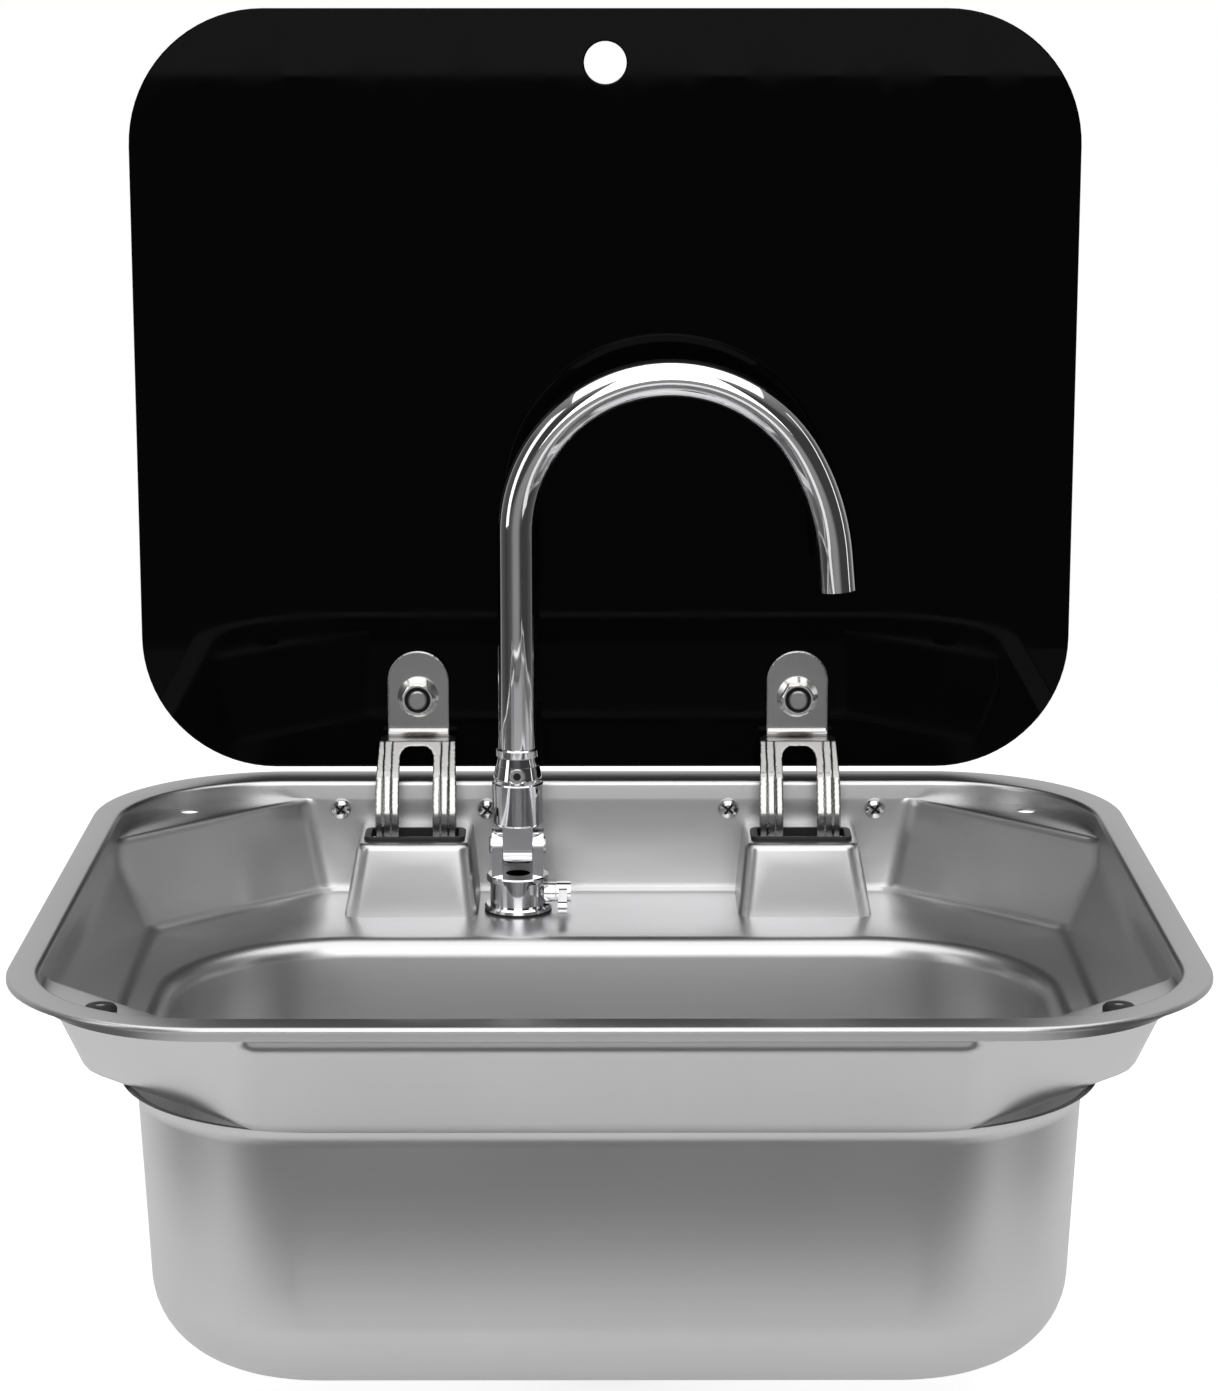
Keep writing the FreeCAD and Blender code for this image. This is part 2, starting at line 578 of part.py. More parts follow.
def slot_gasket(side):
    """Rubber frame that lines the slot in a tower and grips the sheet from both sides."""
    steel = TOWER_Z - SHEET
    lip = plate(GASKET_WIDTH / 2, SLOT_Y - GASKET_DEPTH / 2, SLOT_Y + GASKET_DEPTH / 2,
                GASKET_CORNER + 1.5, TOWER_Z, TOWER_Z + GASKET_LIP, side * TOWER_CENTRE)
    lip = lip.makeFillet(GASKET_LIP * 0.45, edges_where(
        lip, lambda edge: flat_at(edge, TOWER_Z + GASKET_LIP)))
    neck = slot_block(side, GASKET_NECK, steel - GASKET_UNDER, TOWER_Z + GASKET_LIP / 2)
    under = slot_block(side, GASKET_NECK + 1, steel - GASKET_UNDER, steel)
    return lip.fuse([neck, under]).cut(slot_block(side, 0, steel - 3, TOWER_Z + 3))


# ---------------------------------------------------------------- hinges
def screw_places(side):
    """Centres of the two screws of one hinge, on the inner face of the rear wall."""
    return [Vector(side * (TOWER_CENTRE + away), REAR_EDGE, level(SCREW_DEPTH))
            for away in (BRACKET_SCREW_OUT, -BRACKET_SCREW_IN)]


def hinge_bracket(side):
    """Fixed plate behind the rear wall, with two ears folded back to hold the pin."""
    front = REAR_EDGE + SHEET
    top = level(BRACKET_TOP_DEPTH)
    ear_inside = ARM_LEG_SPAN / 2 + BRACKET_SIDE_GAP
    ends = [side * (TOWER_CENTRE + BRACKET_SCREW_OUT + BRACKET_MARGIN),
            side * (TOWER_CENTRE - BRACKET_SCREW_IN - BRACKET_MARGIN)]
    middle = side * TOWER_CENTRE
    flat = prism([Vector(min(ends), front, level(BRACKET_LOW_DEPTH)),
                  Vector(max(ends), front, level(BRACKET_LOW_DEPTH)),
                  Vector(max(ends), front, top), Vector(min(ends), front, top)],
                 [BRACKET_CORNER] * 4, Vector(0, BRACKET_SHEET, 0))
    open_half = ear_inside + BRACKET_SHEET + PIN_HEAD + BRACKET_SIDE_GAP
    window = box(middle - open_half, middle + open_half, front - 1, front + 4,
                 level(40), PIVOT_Z + ARM_BARREL_R + 1.5)
    bracket = flat.cut(window)
    reach = PIVOT_Y + EAR_REACH
    low = PIVOT_Z - EAR_REACH
    for x in (middle - ear_inside - BRACKET_SHEET, middle + ear_inside):
        ear = prism([Vector(x, front, low), Vector(x, reach, low), Vector(x, reach, top),
                     Vector(x, front, top)], [0.5, EAR_REACH * 0.9, 3, 0],
                    Vector(BRACKET_SHEET, 0, 0))
        bracket = bracket.fuse(ear)
    bore = cylinder(PIN_R + PIN_CLEARANCE, 2 * open_half,
                    Vector(middle - open_half, PIVOT_Y, PIVOT_Z), SIDEWAYS)
    holes = [cylinder(SCREW_R + FIT, 6, place, REARWARDS) for place in screw_places(side)]
    return bracket.cut([bore] + holes).removeSplitter()


def hinge_pins():
    """Headed pins through the brackets' ears and the arms' barrels."""
    outside = ARM_LEG_SPAN / 2 + BRACKET_SIDE_GAP + BRACKET_SHEET
    profile = [(0, -outside - PIN_HEAD), (PIN_HEAD_R * 0.7, -outside - PIN_HEAD),
               (PIN_HEAD_R, -outside - PIN_HEAD * 0.5), (PIN_HEAD_R, -outside), (PIN_R, -outside),
               (PIN_R, outside), (PIN_HEAD_R * 0.85, outside),
               (PIN_HEAD_R * 0.85, outside + PIN_HEAD * 0.6), (0, outside + PIN_HEAD)]
    return pair(lambda side: turned(profile, Vector(side * TOWER_CENTRE, PIVOT_Y, PIVOT_Z),
                                    SIDEWAYS))


def hinge_screws():
    """Pan-head screws through the rear wall and the brackets."""
    reach = SHEET + BRACKET_SHEET + SCREW_NUT_HEIGHT + SCREW_END
    profile = [(0, -reach), (SCREW_R - 0.4, -reach), (SCREW_R, -reach + 0.5), (SCREW_R, 0),
               (SCREW_HEAD_R, 0), (SCREW_HEAD_R, SCREW_HEAD_HEIGHT * 0.35),
               (SCREW_HEAD_R * 0.84, SCREW_HEAD_HEIGHT * 0.78),
               (SCREW_HEAD_R * 0.5, SCREW_HEAD_HEIGHT), (0, SCREW_HEAD_HEIGHT)]
    return Part.makeCompound([turned(profile, place, FORWARDS)
                              for side in (-1, 1) for place in screw_places(side)])


def hinge_screw_nuts():
    behind = SHEET + BRACKET_SHEET
    nuts = []
    for side in (-1, 1):
        for place in screw_places(side):
            base = place + Vector(0, behind, 0)
            nut = hexagon(SCREW_NUT_FLATS, SCREW_NUT_HEIGHT, base, REARWARDS)
            nuts.append(nut.cut(cylinder(SCREW_R + FIT, 9, place, REARWARDS)))
    return Part.makeCompound(nuts)


def offset_path(points, radii, distance):
    """The same bent path moved to its left by `distance`, with its bends to match."""
    runs = [(b - a).normalize() for a, b in zip(points, points[1:])]
    moved = []
    bends = []
    for i, (point, radius) in enumerate(zip(points, radii)):
        before = runs[max(i - 1, 0)]
        after = runs[min(i, len(runs) - 1)]
        left_before = Vector(0, -before.z, before.y)
        left_after = Vector(0, -after.z, after.y)
        middle = (left_before + left_after).normalize()
        moved.append(point + middle * (distance / middle.dot(left_before)))
        turn = before.y * after.z - before.z * after.y
        if radius == 0 or abs(turn) < 1e-9:
            bends.append(0)
        else:
            bends.append(radius - math.copysign(distance, turn))
    return moved, bends


def bent_sheet(points, radii, left, right, x0, x1):
    """Sheet along a path in the YZ plane, from `left` to `right` of it, between x0 and x1."""
    one, one_bends = offset_path(points, radii, left)
    two, two_bends = offset_path(points, radii, -right)
    ring = [Vector(x0, p.y, p.z) for p in one + two[::-1]]
    return prism(ring, one_bends + two_bends[::-1], Vector(x1 - x0, 0, 0))


def arm_path():
    """Middle of the arm's sheet from the top of its tab to the pivot barrel, with bends."""
    step = RIM_HEIGHT + ARM_STEP
    lift = step - PIVOT_Z
    front = PIVOT_Y - ARM_SWING_R
    under = PIVOT_Z - ARM_UNDER
    points = [(ARM_Y, RIM_HEIGHT + ARM_TAB_TOP), (ARM_Y, step), (PIVOT_Y - ARM_STEP_REACH, step),
              (PIVOT_Y - ARM_SWING_R * 0.7, PIVOT_Z + lift * 0.66),
              (front, PIVOT_Z + lift * 0.24), (front, under), (PIVOT_Y, under),
              (PIVOT_Y, PIVOT_Z - 1.5)]
    bends = [0, ARM_BEND, ARM_BEND, ARM_SWEEP_BEND, ARM_SWEEP_BEND, ARM_BEND, ARM_UNDER * 0.6, 0]
    return [Vector(0, y, z) for y, z in points], bends


def hinge_arm(side):
    """Moving arm: a tab bolted to the glass, a step, and two ribbed legs to the pivot."""
    points, bends = arm_path()
    middle = side * TOWER_CENTRE
    half = ARM_LEG_SPAN / 2
    tab = ARM_TAB_WIDTH / 2
    thick = ARM_SHEET / 2
    sheet = bent_sheet(points, bends, thick, thick, middle - half, middle + half)
    top = RIM_HEIGHT + ARM_TAB_TOP
    front = PIVOT_Y - 2 * ARM_SWING_R
    bottom = PIVOT_Z - ARM_SWING_R
    behind = ARM_Y + ARM_SHEET
    waist = ARM_Y - thick - ARM_BLEND
    plan = [(-half, front), (half, front), (half, ARM_Y - ARM_SHOULDER), (tab, waist),
            (tab, behind), (-tab, behind), (-tab, waist), (-half, ARM_Y - ARM_SHOULDER)]
    face = prism([Vector(middle + x, y, bottom) for x, y in plan], [0] * 8,
                 Vector(0, 0, top - bottom))
    shoulder = RIM_HEIGHT + ARM_STEP + thick + ARM_BLEND
    upper_half = half - ARM_TAPER
    front_view = [(half, RIM_HEIGHT), (upper_half, shoulder), (tab, shoulder), (tab, top),
                  (-tab, top), (-tab, shoulder), (-upper_half, shoulder), (-half, RIM_HEIGHT),
                  (-half, bottom), (half, bottom)]
    silhouette = prism([Vector(middle + x, front, z) for x, z in front_view],
                       [0, 0, 0, tab - 0.01, tab - 0.01, 0, 0, 0, 0, 0],
                       Vector(0, behind - front, 0))
    arm = sheet.common(face).common(silhouette)
    ribs = []
    for x in (-1, 1):
        centre = middle + x * (ARM_GAP_WIDTH / 2 + half) / 2
        ribs.append(bent_sheet(points[2:6], [0] + bends[3:5] + [0], 0, thick + ARM_RIB_HEIGHT,
                               centre - ARM_RIB_WIDTH / 2, centre + ARM_RIB_WIDTH / 2))
    barrel = cylinder(ARM_BARREL_R, ARM_LEG_SPAN, Vector(middle - half, PIVOT_Y, PIVOT_Z), SIDEWAYS)
    arm = arm.fuse(ribs + [barrel])
    gap = ARM_GAP_WIDTH / 2
    arch = RIM_HEIGHT + ARM_ARCH_TOP

    def opening(low, y0, y1):
        """Gap between the legs, arched at its top, from one y to another."""
        return prism([Vector(middle - gap, y0, low), Vector(middle + gap, y0, low),
                      Vector(middle + gap, y0, arch), Vector(middle - gap, y0, arch)],
                     [0, 0, ARM_ARCH_CORNER, ARM_ARCH_CORNER], Vector(0, y1 - y0, 0))

    window = opening(bottom, front, PIVOT_Y - ARM_FOOT)
    upper = opening(PIVOT_Z + ARM_BARREL_R + ARM_SHEET * 2, front, behind)
    bolt_hole = cylinder(BOLT_HOLE_R, 4 * ARM_SHEET, Vector(middle, ARM_Y - 2 * ARM_SHEET, BOLT_Z),
                         REARWARDS)
    bore = cylinder(PIN_R + PIN_CLEARANCE, ARM_LEG_SPAN + 2,
                    Vector(middle - half - 1, PIVOT_Y, PIVOT_Z), SIDEWAYS)
    return arm.cut([window, upper, bolt_hole, bore])


# ---------------------------------------------------------------- lid
def glass_lid():
    """Toughened glass with round corners, a finger hole and two bolt holes."""
    low = RIM_HEIGHT + LID_BOTTOM
    high = low + LID_HEIGHT
    half = LID_WIDTH / 2
    points = [Vector(LID_SHIFT - half, LID_FACE_Y, low), Vector(LID_SHIFT + half, LID_FACE_Y, low),
              Vector(LID_SHIFT + half, LID_FACE_Y, high),
              Vector(LID_SHIFT - half, LID_FACE_Y, high)]
    glass = prism(points, [LID_CORNER] * 4, Vector(0, LID_THICK, 0))
    hole = cylinder(FINGER_HOLE_R, LID_THICK + 2,
                    Vector(LID_SHIFT, LID_FACE_Y - 1, high - FINGER_HOLE_DROP), REARWARDS)
    glass = glass.cut(hole)
    glass = glass.makeChamfer(LID_EDGE_BEVEL, edges_where(
        glass, lambda edge: edge.BoundBox.YLength < 0.01))
    bolt_holes = [cylinder(GLASS_HOLE_R, LID_THICK + 2,
                           Vector(side * TOWER_CENTRE, LID_FACE_Y - 1, BOLT_Z), REARWARDS)
                  for side in (-1, 1)]
    return glass.cut(bolt_holes)


def ring(inner, outer, thick, base, direction):
    return cylinder(outer, thick, base, direction).cut(cylinder(inner, thick, base, direction))


def lid_pads():
    """Soft washers between the arms and the glass."""
    return pair(lambda side: ring(BOLT_HOLE_R, ARM_PAD_R, ARM_PAD,
                                  Vector(side * TOWER_CENTRE, LID_FACE_Y - ARM_PAD, BOLT_Z),
                                  REARWARDS))


def lid_washers():
    """Washers under the bolt heads on the outside of the glass."""
    return pair(lambda side: ring(BOLT_HOLE_R, BOLT_CAP_R + 0.8, BOLT_WASHER_THICK,
                                  Vector(side * TOWER_CENTRE, LID_FACE_Y + LID_THICK, BOLT_Z),
                                  REARWARDS))


def lid_bolts():
    """Dome-headed bolts, head outside the glass, thread towards the tap."""
    head = LID_THICK + BOLT_WASHER_THICK
    end = -(ARM_PAD + ARM_SHEET + NUT_HEIGHT + BOLT_END)
    cap = BOLT_CAP_HEIGHT
    profile = [(0, end), (BOLT_R - 0.7, end), (BOLT_R, end + 0.7), (BOLT_R, head),
               (BOLT_CAP_R, head), (BOLT_CAP_R, head + cap * 0.3),
               (BOLT_CAP_R * 0.88, head + cap * 0.66), (BOLT_CAP_R * 0.62, head + cap * 0.9),
               (BOLT_CAP_R * 0.3, head + cap), (0, head + cap)]
    return pair(lambda side: turned(profile, Vector(side * TOWER_CENTRE, LID_FACE_Y, BOLT_Z),
                                    REARWARDS))


def lid_nuts():
    """Hexagon nuts with a built-on washer, against the arms."""
    def nut(side):
        base = Vector(side * TOWER_CENTRE, ARM_Y - ARM_SHEET / 2, BOLT_Z)
        flange = turned([(0, 0), (NUT_FLANGE_R, 0), (NUT_FLANGE_R, NUT_FLANGE_THICK * 0.5),
                         (NUT_FLATS / 2, NUT_FLANGE_THICK + 0.8), (0, NUT_FLANGE_THICK + 0.8)],
                        base, FORWARDS)
        body = hexagon(NUT_FLATS, NUT_HEIGHT, base, FORWARDS)
        return flange.fuse(body).cut(cylinder(BOLT_R + FIT, NUT_HEIGHT + 1, base, FORWARDS))
    return pair(nut)


# ---------------------------------------------------------------- tap
def tap_seal():
    return ring(TAP_SHANK_R + FIT, TAP_FOOT_R, TAP_WASHER, Vector(TAP_X, TAP_Y, SHELF_Z), UP)


def tap_body():
    """Fixed foot of the tap: valve chamber above the shelf, shank and hose stem below it."""
    foot = TAP_WASHER
    top = foot + TAP_FOOT_THICK + TAP_BODY_HEIGHT
    stem_bore = TAP_STEM_R - TAP_STEM_WALL
    stem_end = TAP_SHANK_END - TAP_STEM_LENGTH
    profile = [(stem_bore, stem_end), (TAP_STEM_R, stem_end), (TAP_STEM_R, TAP_SHANK_END),
               (TAP_SHANK_R - 1, TAP_SHANK_END), (TAP_SHANK_R, TAP_SHANK_END + 1),
               (TAP_SHANK_R, foot),
               (TAP_FOOT_R, foot), (TAP_FOOT_R, foot + TAP_FOOT_THICK * 0.6),
               (TAP_FOOT_R - 0.8, foot + TAP_FOOT_THICK), (TAP_BODY_R, foot + TAP_FOOT_THICK),
               (TAP_BODY_R, top), (SWIVEL_R + SWIVEL_CLEARANCE, top),
               (SWIVEL_R + SWIVEL_CLEARANCE, top - SWIVEL_LENGTH - 1),
               (TAP_BORE_R, top - SWIVEL_LENGTH - 1), (TAP_BORE_R, TAP_SHANK_END + 2),
               (stem_bore, TAP_SHANK_END + 2)]
    body = turned(profile, Vector(TAP_X, TAP_Y, SHELF_Z))
    boss = cylinder(VALVE_BOSS_R, VALVE_BOSS_END - TAP_BODY_R + 2,
                    Vector(TAP_X + TAP_BODY_R - 2, TAP_Y, VALVE_Z), SIDEWAYS)
    inner = SWIVEL_R + SWIVEL_CLEARANCE + 1
    spindle_bore = cylinder(LEVER_SPINDLE_R + PIN_CLEARANCE, VALVE_BOSS_END,
                            Vector(TAP_X + inner, TAP_Y, VALVE_Z), SIDEWAYS)
    return body.fuse(boss).cut(spindle_bore)


def under_shelf(below, inner, outer, thick):
    """Flat ring on the tap's shank, its top face `below` the underside of the shelf."""
    base = Vector(TAP_X, TAP_Y, SHELF_Z - SHEET - below - thick)
    return ring(inner, outer, thick, base, UP)


def tap_lower_seal():
    return under_shelf(0, TAP_SHANK_R + FIT, TAP_WASHER_R, TAP_LOWER_SEAL)


def tap_washer():
    return under_shelf(TAP_LOWER_SEAL, TAP_SHANK_R + FIT, TAP_WASHER_R, TAP_LOWER_WASHER)


def tap_nut():
    top = SHELF_Z - SHEET - TAP_LOWER_SEAL - TAP_LOWER_WASHER
    base = Vector(TAP_X, TAP_Y, top)
    nut = hexagon(TAP_NUT_FLATS, TAP_NUT_HEIGHT, base, DOWN)
    return nut.cut(cylinder(TAP_SHANK_R + FIT, TAP_NUT_HEIGHT, base, DOWN))


def tap_head():
    """Swivelling head: a collar on a spigot in the body, with two ears for the fold pin."""
    collar = Vector(TAP_X, TAP_Y, HEAD_Z)
    profile = [(TAP_BORE_R - 1, -SWIVEL_LENGTH), (SWIVEL_R, -SWIVEL_LENGTH), (SWIVEL_R, 0),
               (HEAD_R, 0), (HEAD_R, HEAD_THICK - 0.6), (HEAD_R - 0.6, HEAD_THICK),
               (TAP_BORE_R - 1, HEAD_THICK)]
    head = turned(profile, collar)
    for inside in (EYE_WIDTH / 2 + RUNNING_GAP, -EYE_WIDTH / 2 - RUNNING_GAP - EAR_THICK):
        x = TAP_X + inside
        post = box(x, x + EAR_THICK, TAP_Y - EAR_R, TAP_Y + EAR_R, HEAD_Z + HEAD_THICK / 2, FOLD_Z)
        crown = cylinder(EAR_R, EAR_THICK, Vector(x, TAP_Y, FOLD_Z), SIDEWAYS)
        head = head.fuse([post, crown])
    bore = cylinder(FOLD_PIN_R + PIN_CLEARANCE, 40, Vector(TAP_X - 20, TAP_Y, FOLD_Z), SIDEWAYS)
    return head.cut(bore).removeSplitter()


def fold_pin():
    reach = EYE_WIDTH / 2 + RUNNING_GAP + EAR_THICK
    profile = [(0, -reach - 1.2), (FOLD_PIN_R + 0.6, -reach - 1.2), (FOLD_PIN_R + 1.2, -reach - 0.6),
               (FOLD_PIN_R + 1.2, -reach), (FOLD_PIN_R, -reach), (FOLD_PIN_R, reach),
               (FOLD_PIN_R + 1, reach), (FOLD_PIN_R + 1, reach + 0.8), (0, reach + 0.8)]
    return turned(profile, Vector(TAP_X, TAP_Y, FOLD_Z), SIDEWAYS)


def spout_knuckle():
    """Socket that carries the spout and folds between the head's ears."""
    step = RIM_HEIGHT + KNUCKLE_STEP
    top = RIM_HEIGHT + KNUCKLE_TOP
    start = FOLD_Z + KNUCKLE_UP
    profile = [(0, start), (KNUCKLE_R - 1, start), (KNUCKLE_R, start + 1), (KNUCKLE_R, step - 1),
               (KNUCKLE_NECK_R, step + 0.6), (KNUCKLE_NECK_R, top - 0.6),
               (KNUCKLE_NECK_R - 0.5, top), (0, top)]
    barrel = turned(profile, Vector(TAP_X, TAP_Y, 0))
    eye = cylinder(EYE_R, EYE_WIDTH, Vector(TAP_X - EYE_WIDTH / 2, TAP_Y, FOLD_Z), SIDEWAYS)
    neck = box(TAP_X - EYE_WIDTH / 2, TAP_X + EYE_WIDTH / 2, TAP_Y - EYE_R, TAP_Y + EYE_R,
               FOLD_Z, start + 1)
    knuckle = barrel.fuse([eye, neck])
    socket = cylinder(SPOUT_R + FIT, SPOUT_SOCKET + 1,
                      Vector(TAP_X, TAP_Y, top - SPOUT_SOCKET), UP)
    water_way = cylinder(TAP_BORE_R - 2, top - start, Vector(TAP_X, TAP_Y, start + 4), UP)
    bore = cylinder(FOLD_PIN_R + PIN_CLEARANCE, EYE_WIDTH + 2,
                    Vector(TAP_X - EYE_WIDTH / 2 - 1, TAP_Y, FOLD_Z), SIDEWAYS)
    screw_hole = cylinder(SPOUT_SCREW_R + FIT, KNUCKLE_R, Vector(TAP_X, TAP_Y, SPOUT_SCREW_Z),
                          FORWARDS)
    return knuckle.cut([socket, water_way, bore, screw_hole])


def spout_path():
    """Middle line of the spout: up, over a tight arch, down an easier bend, short tail."""
    start = Vector(TAP_X, TAP_Y, RIM_HEIGHT + KNUCKLE_TOP - SPOUT_SOCKET)
    centre = Vector(TAP_X + SPOUT_ARCH_R, TAP_Y, RIM_HEIGHT + SPOUT_ARCH_TOP - SPOUT_ARCH_R)

    def round_from(middle, radius, degrees):
        turn = math.radians(degrees)
        return middle + Vector(radius * math.cos(turn), 0, radius * math.sin(turn))

    tight_end = 90 - SPOUT_ARCH_END
    easy_end = tight_end - SPOUT_EASY_TURN
    shoulder = round_from(centre, SPOUT_ARCH_R, 180)
    crest = round_from(centre, SPOUT_ARCH_R, 100)
    bend = round_from(centre, SPOUT_ARCH_R, tight_end)
    easy_centre = round_from(bend, -SPOUT_EASY_R, tight_end)
    turn = math.radians(easy_end)
    end = round_from(easy_centre, SPOUT_EASY_R, easy_end)
    outlet = end + Vector(math.sin(turn), 0, -math.cos(turn)) * SPOUT_TAIL
    half_easy = round_from(easy_centre, SPOUT_EASY_R, (tight_end + easy_end) / 2)
    path = Part.Wire([Part.LineSegment(start, shoulder).toShape(),
                      Part.Arc(shoulder, crest, bend).toShape(),
                      Part.Arc(bend, half_easy, end).toShape(),
                      Part.LineSegment(end, outlet).toShape()])
    return path, start, outlet, (outlet - end).normalize()


def spout_tube():
    path, start, outlet, direction = spout_path()

    def tube(radius):
        circle = Part.Wire(Part.makeCircle(radius, start, UP))
        return path.makePipeShell([circle], True, False)

    return tube(SPOUT_R).cut(tube(SPOUT_R - SPOUT_WALL))


def spout_outlet():
    """Flow straightener pushed into the end of the spout."""
    path, start, outlet, direction = spout_path()
    radius = SPOUT_R - SPOUT_WALL - FIT
    base = outlet - direction * OUTLET_LENGTH
    insert = cylinder(radius, OUTLET_LENGTH - 1, base, direction)
    across = Vector(0, 1, 0)
    along = direction.cross(across)
    holes = [cylinder(OUTLET_HOLE_R, OUTLET_LENGTH, base, direction)]
    for i in range(6):
        turn = math.radians(60 * i)
        place = (across * math.cos(turn) + along * math.sin(turn)) * (radius * 0.6)
        holes.append(cylinder(OUTLET_HOLE_R, OUTLET_LENGTH, base + place, direction))
    return insert.cut(holes)


def spout_screw():
    """Grub screw with a round socket that fixes the spout in its knuckle."""
    tip = SPOUT_R + FIT
    head = KNUCKLE_NECK_R + SPOUT_SCREW_PROUD
    profile = [(0, tip), (SPOUT_SCREW_R, tip), (SPOUT_SCREW_R, head - 0.3),
               (SPOUT_SCREW_R - 0.4, head), (SPOUT_SOCKET_R, head), (SPOUT_SOCKET_R, head - 1.1),
               (0, head - 1.1)]
    return turned(profile, Vector(TAP_X, TAP_Y, SPOUT_SCREW_Z), FORWARDS)


def lever_spindle():
    inner = SWIVEL_R + SWIVEL_CLEARANCE + 1.5
    outer = VALVE_BOSS_END + RUNNING_GAP + LEVER_HUB_LENGTH - 1.5
    return cylinder(LEVER_SPINDLE_R, outer - inner, Vector(TAP_X + inner, TAP_Y, VALVE_Z), SIDEWAYS)


def tap_lever():
    """Quarter-turn lever, pointing forwards when the water is off."""
    x = TAP_X + VALVE_BOSS_END + RUNNING_GAP
    hub = cylinder(LEVER_HUB_R, LEVER_HUB_LENGTH, Vector(x, TAP_Y, VALVE_Z), SIDEWAYS)
    half = LEVER_WIDTH / 2
    tip = TAP_Y - LEVER_LENGTH
    blade = prism([Vector(x + 1, TAP_Y, VALVE_Z - half), Vector(x + 1, TAP_Y, VALVE_Z + half),
                   Vector(x + 1, tip, VALVE_Z + half), Vector(x + 1, tip, VALVE_Z - half)],
                  [0, 0, half * 0.9, half * 0.9], Vector(LEVER_HUB_LENGTH - 2.4, 0, 0))
    lever = hub.fuse(blade)
    return lever.cut(cylinder(LEVER_SPINDLE_R + FIT, LEVER_HUB_LENGTH - 1.5,
                              Vector(x, TAP_Y, VALVE_Z), SIDEWAYS))


# ---------------------------------------------------------------- waste outlet
def drain_flange():
    """Waste outlet: a rim in the dish, a tapered seat and a threaded tube."""
    rim_z = DRAIN_RIM_THICK
    profile = [(DRAIN_BORE_R, -DRAIN_TUBE_LENGTH), (DRAIN_TUBE_R, -DRAIN_TUBE_LENGTH),
               (DRAIN_TUBE_R, 0), (DRAIN_RIM_R, 0), (DRAIN_RIM_R, rim_z * 0.4),
               (DRAIN_RIM_R - 1.5, rim_z), (DRAIN_SEAT_R, rim_z),
               (DRAIN_BORE_R, rim_z - DRAIN_SEAT_DEPTH)]
    return turned(profile, Vector(0, DRAIN_Y, DRAIN_SEAT_Z))


def drain_gasket():
    base = Vector(0, DRAIN_Y, DRAIN_SEAT_Z - SHEET - DRAIN_GASKET)
    return ring(DRAIN_TUBE_R + FIT, DRAIN_NUT_R, DRAIN_GASKET, base, UP)


def drain_nut():
    """Castellated ring nut that pulls the waste outlet down."""
    top = DRAIN_SEAT_Z - SHEET - DRAIN_GASKET
    base = Vector(0, DRAIN_Y, top - DRAIN_NUT_HEIGHT)
    nut = ring(DRAIN_TUBE_R + FIT, DRAIN_NUT_R, DRAIN_NUT_HEIGHT, base, UP)
    notches = []
    for i in range(8):
        notch = box(DRAIN_NUT_R - 2.2, DRAIN_NUT_R + 2, -3, 3, -1, DRAIN_NUT_HEIGHT - 2)
        notch.rotate(Vector(0, 0, 0), UP, 45 * i)
        notch.translate(base)
        notches.append(notch)
    return nut.cut(notches)


def drain_cup():
    """Outlet cup screwed to the waste tube, with a spigot for the hose."""
    top = -DRAIN_TUBE_LENGTH + DRAIN_CUP_GRIP
    floor = -DRAIN_TUBE_LENGTH - FIT
    outside = floor - DRAIN_CUP_WALL
    profile = [(DRAIN_TUBE_R + FIT, top), (DRAIN_CUP_R, top), (DRAIN_CUP_R, outside + 2),
               (DRAIN_CUP_R - 2, outside), (TAIL_R, outside), (TAIL_R, outside - TAIL_LENGTH),
               (TAIL_BORE_R, outside - TAIL_LENGTH), (TAIL_BORE_R, floor),
               (DRAIN_TUBE_R + FIT, floor)]
    return turned(profile, Vector(0, DRAIN_Y, DRAIN_SEAT_Z))


def drain_plug():
    """Lift-out stopper with a knob."""
    seat = DRAIN_RIM_THICK
    face = DRAIN_SEAT_R - RUNNING_GAP * 2
    slope = (DRAIN_SEAT_R - DRAIN_BORE_R) / DRAIN_SEAT_DEPTH
    profile = [(0, seat - PLUG_SINK), (face - PLUG_SINK * slope, seat - PLUG_SINK), (face, seat),
               (face, seat + 1.2), (face - 1.2, seat + 2), (PLUG_KNOB_R * 0.6, seat + 2.6),
               (PLUG_KNOB_R * 0.6, seat + 6), (PLUG_KNOB_R, seat + 7.5),
               (PLUG_KNOB_R, seat + 9.5), (PLUG_KNOB_R * 0.7, seat + 10.5), (0, seat + 10.5)]
    return turned(profile, Vector(0, DRAIN_Y, DRAIN_SEAT_Z))


def pair(make):
    return Part.makeCompound([make(-1), make(1)])


os.makedirs("parts", exist_ok=True)

for single in (sink_bowl, lid_buffers, buffer_pins, hinge_screws, hinge_screw_nuts,
               hinge_pins, glass_lid, lid_pads, lid_washers, lid_bolts, lid_nuts,
               tap_seal, tap_body, tap_lower_seal, tap_washer, tap_nut,
               tap_head, fold_pin, spout_knuckle, spout_tube, spout_outlet, spout_screw,
               lever_spindle, tap_lever,
               drain_flange, drain_gasket, drain_nut, drain_cup, drain_plug):
    save(single(), single.__name__)

for handed in (slot_gasket, hinge_bracket, hinge_arm):
    for side, word in ((-1, "left"), (1, "right")):
        save(handed(side), handed.__name__ + "_" + word)
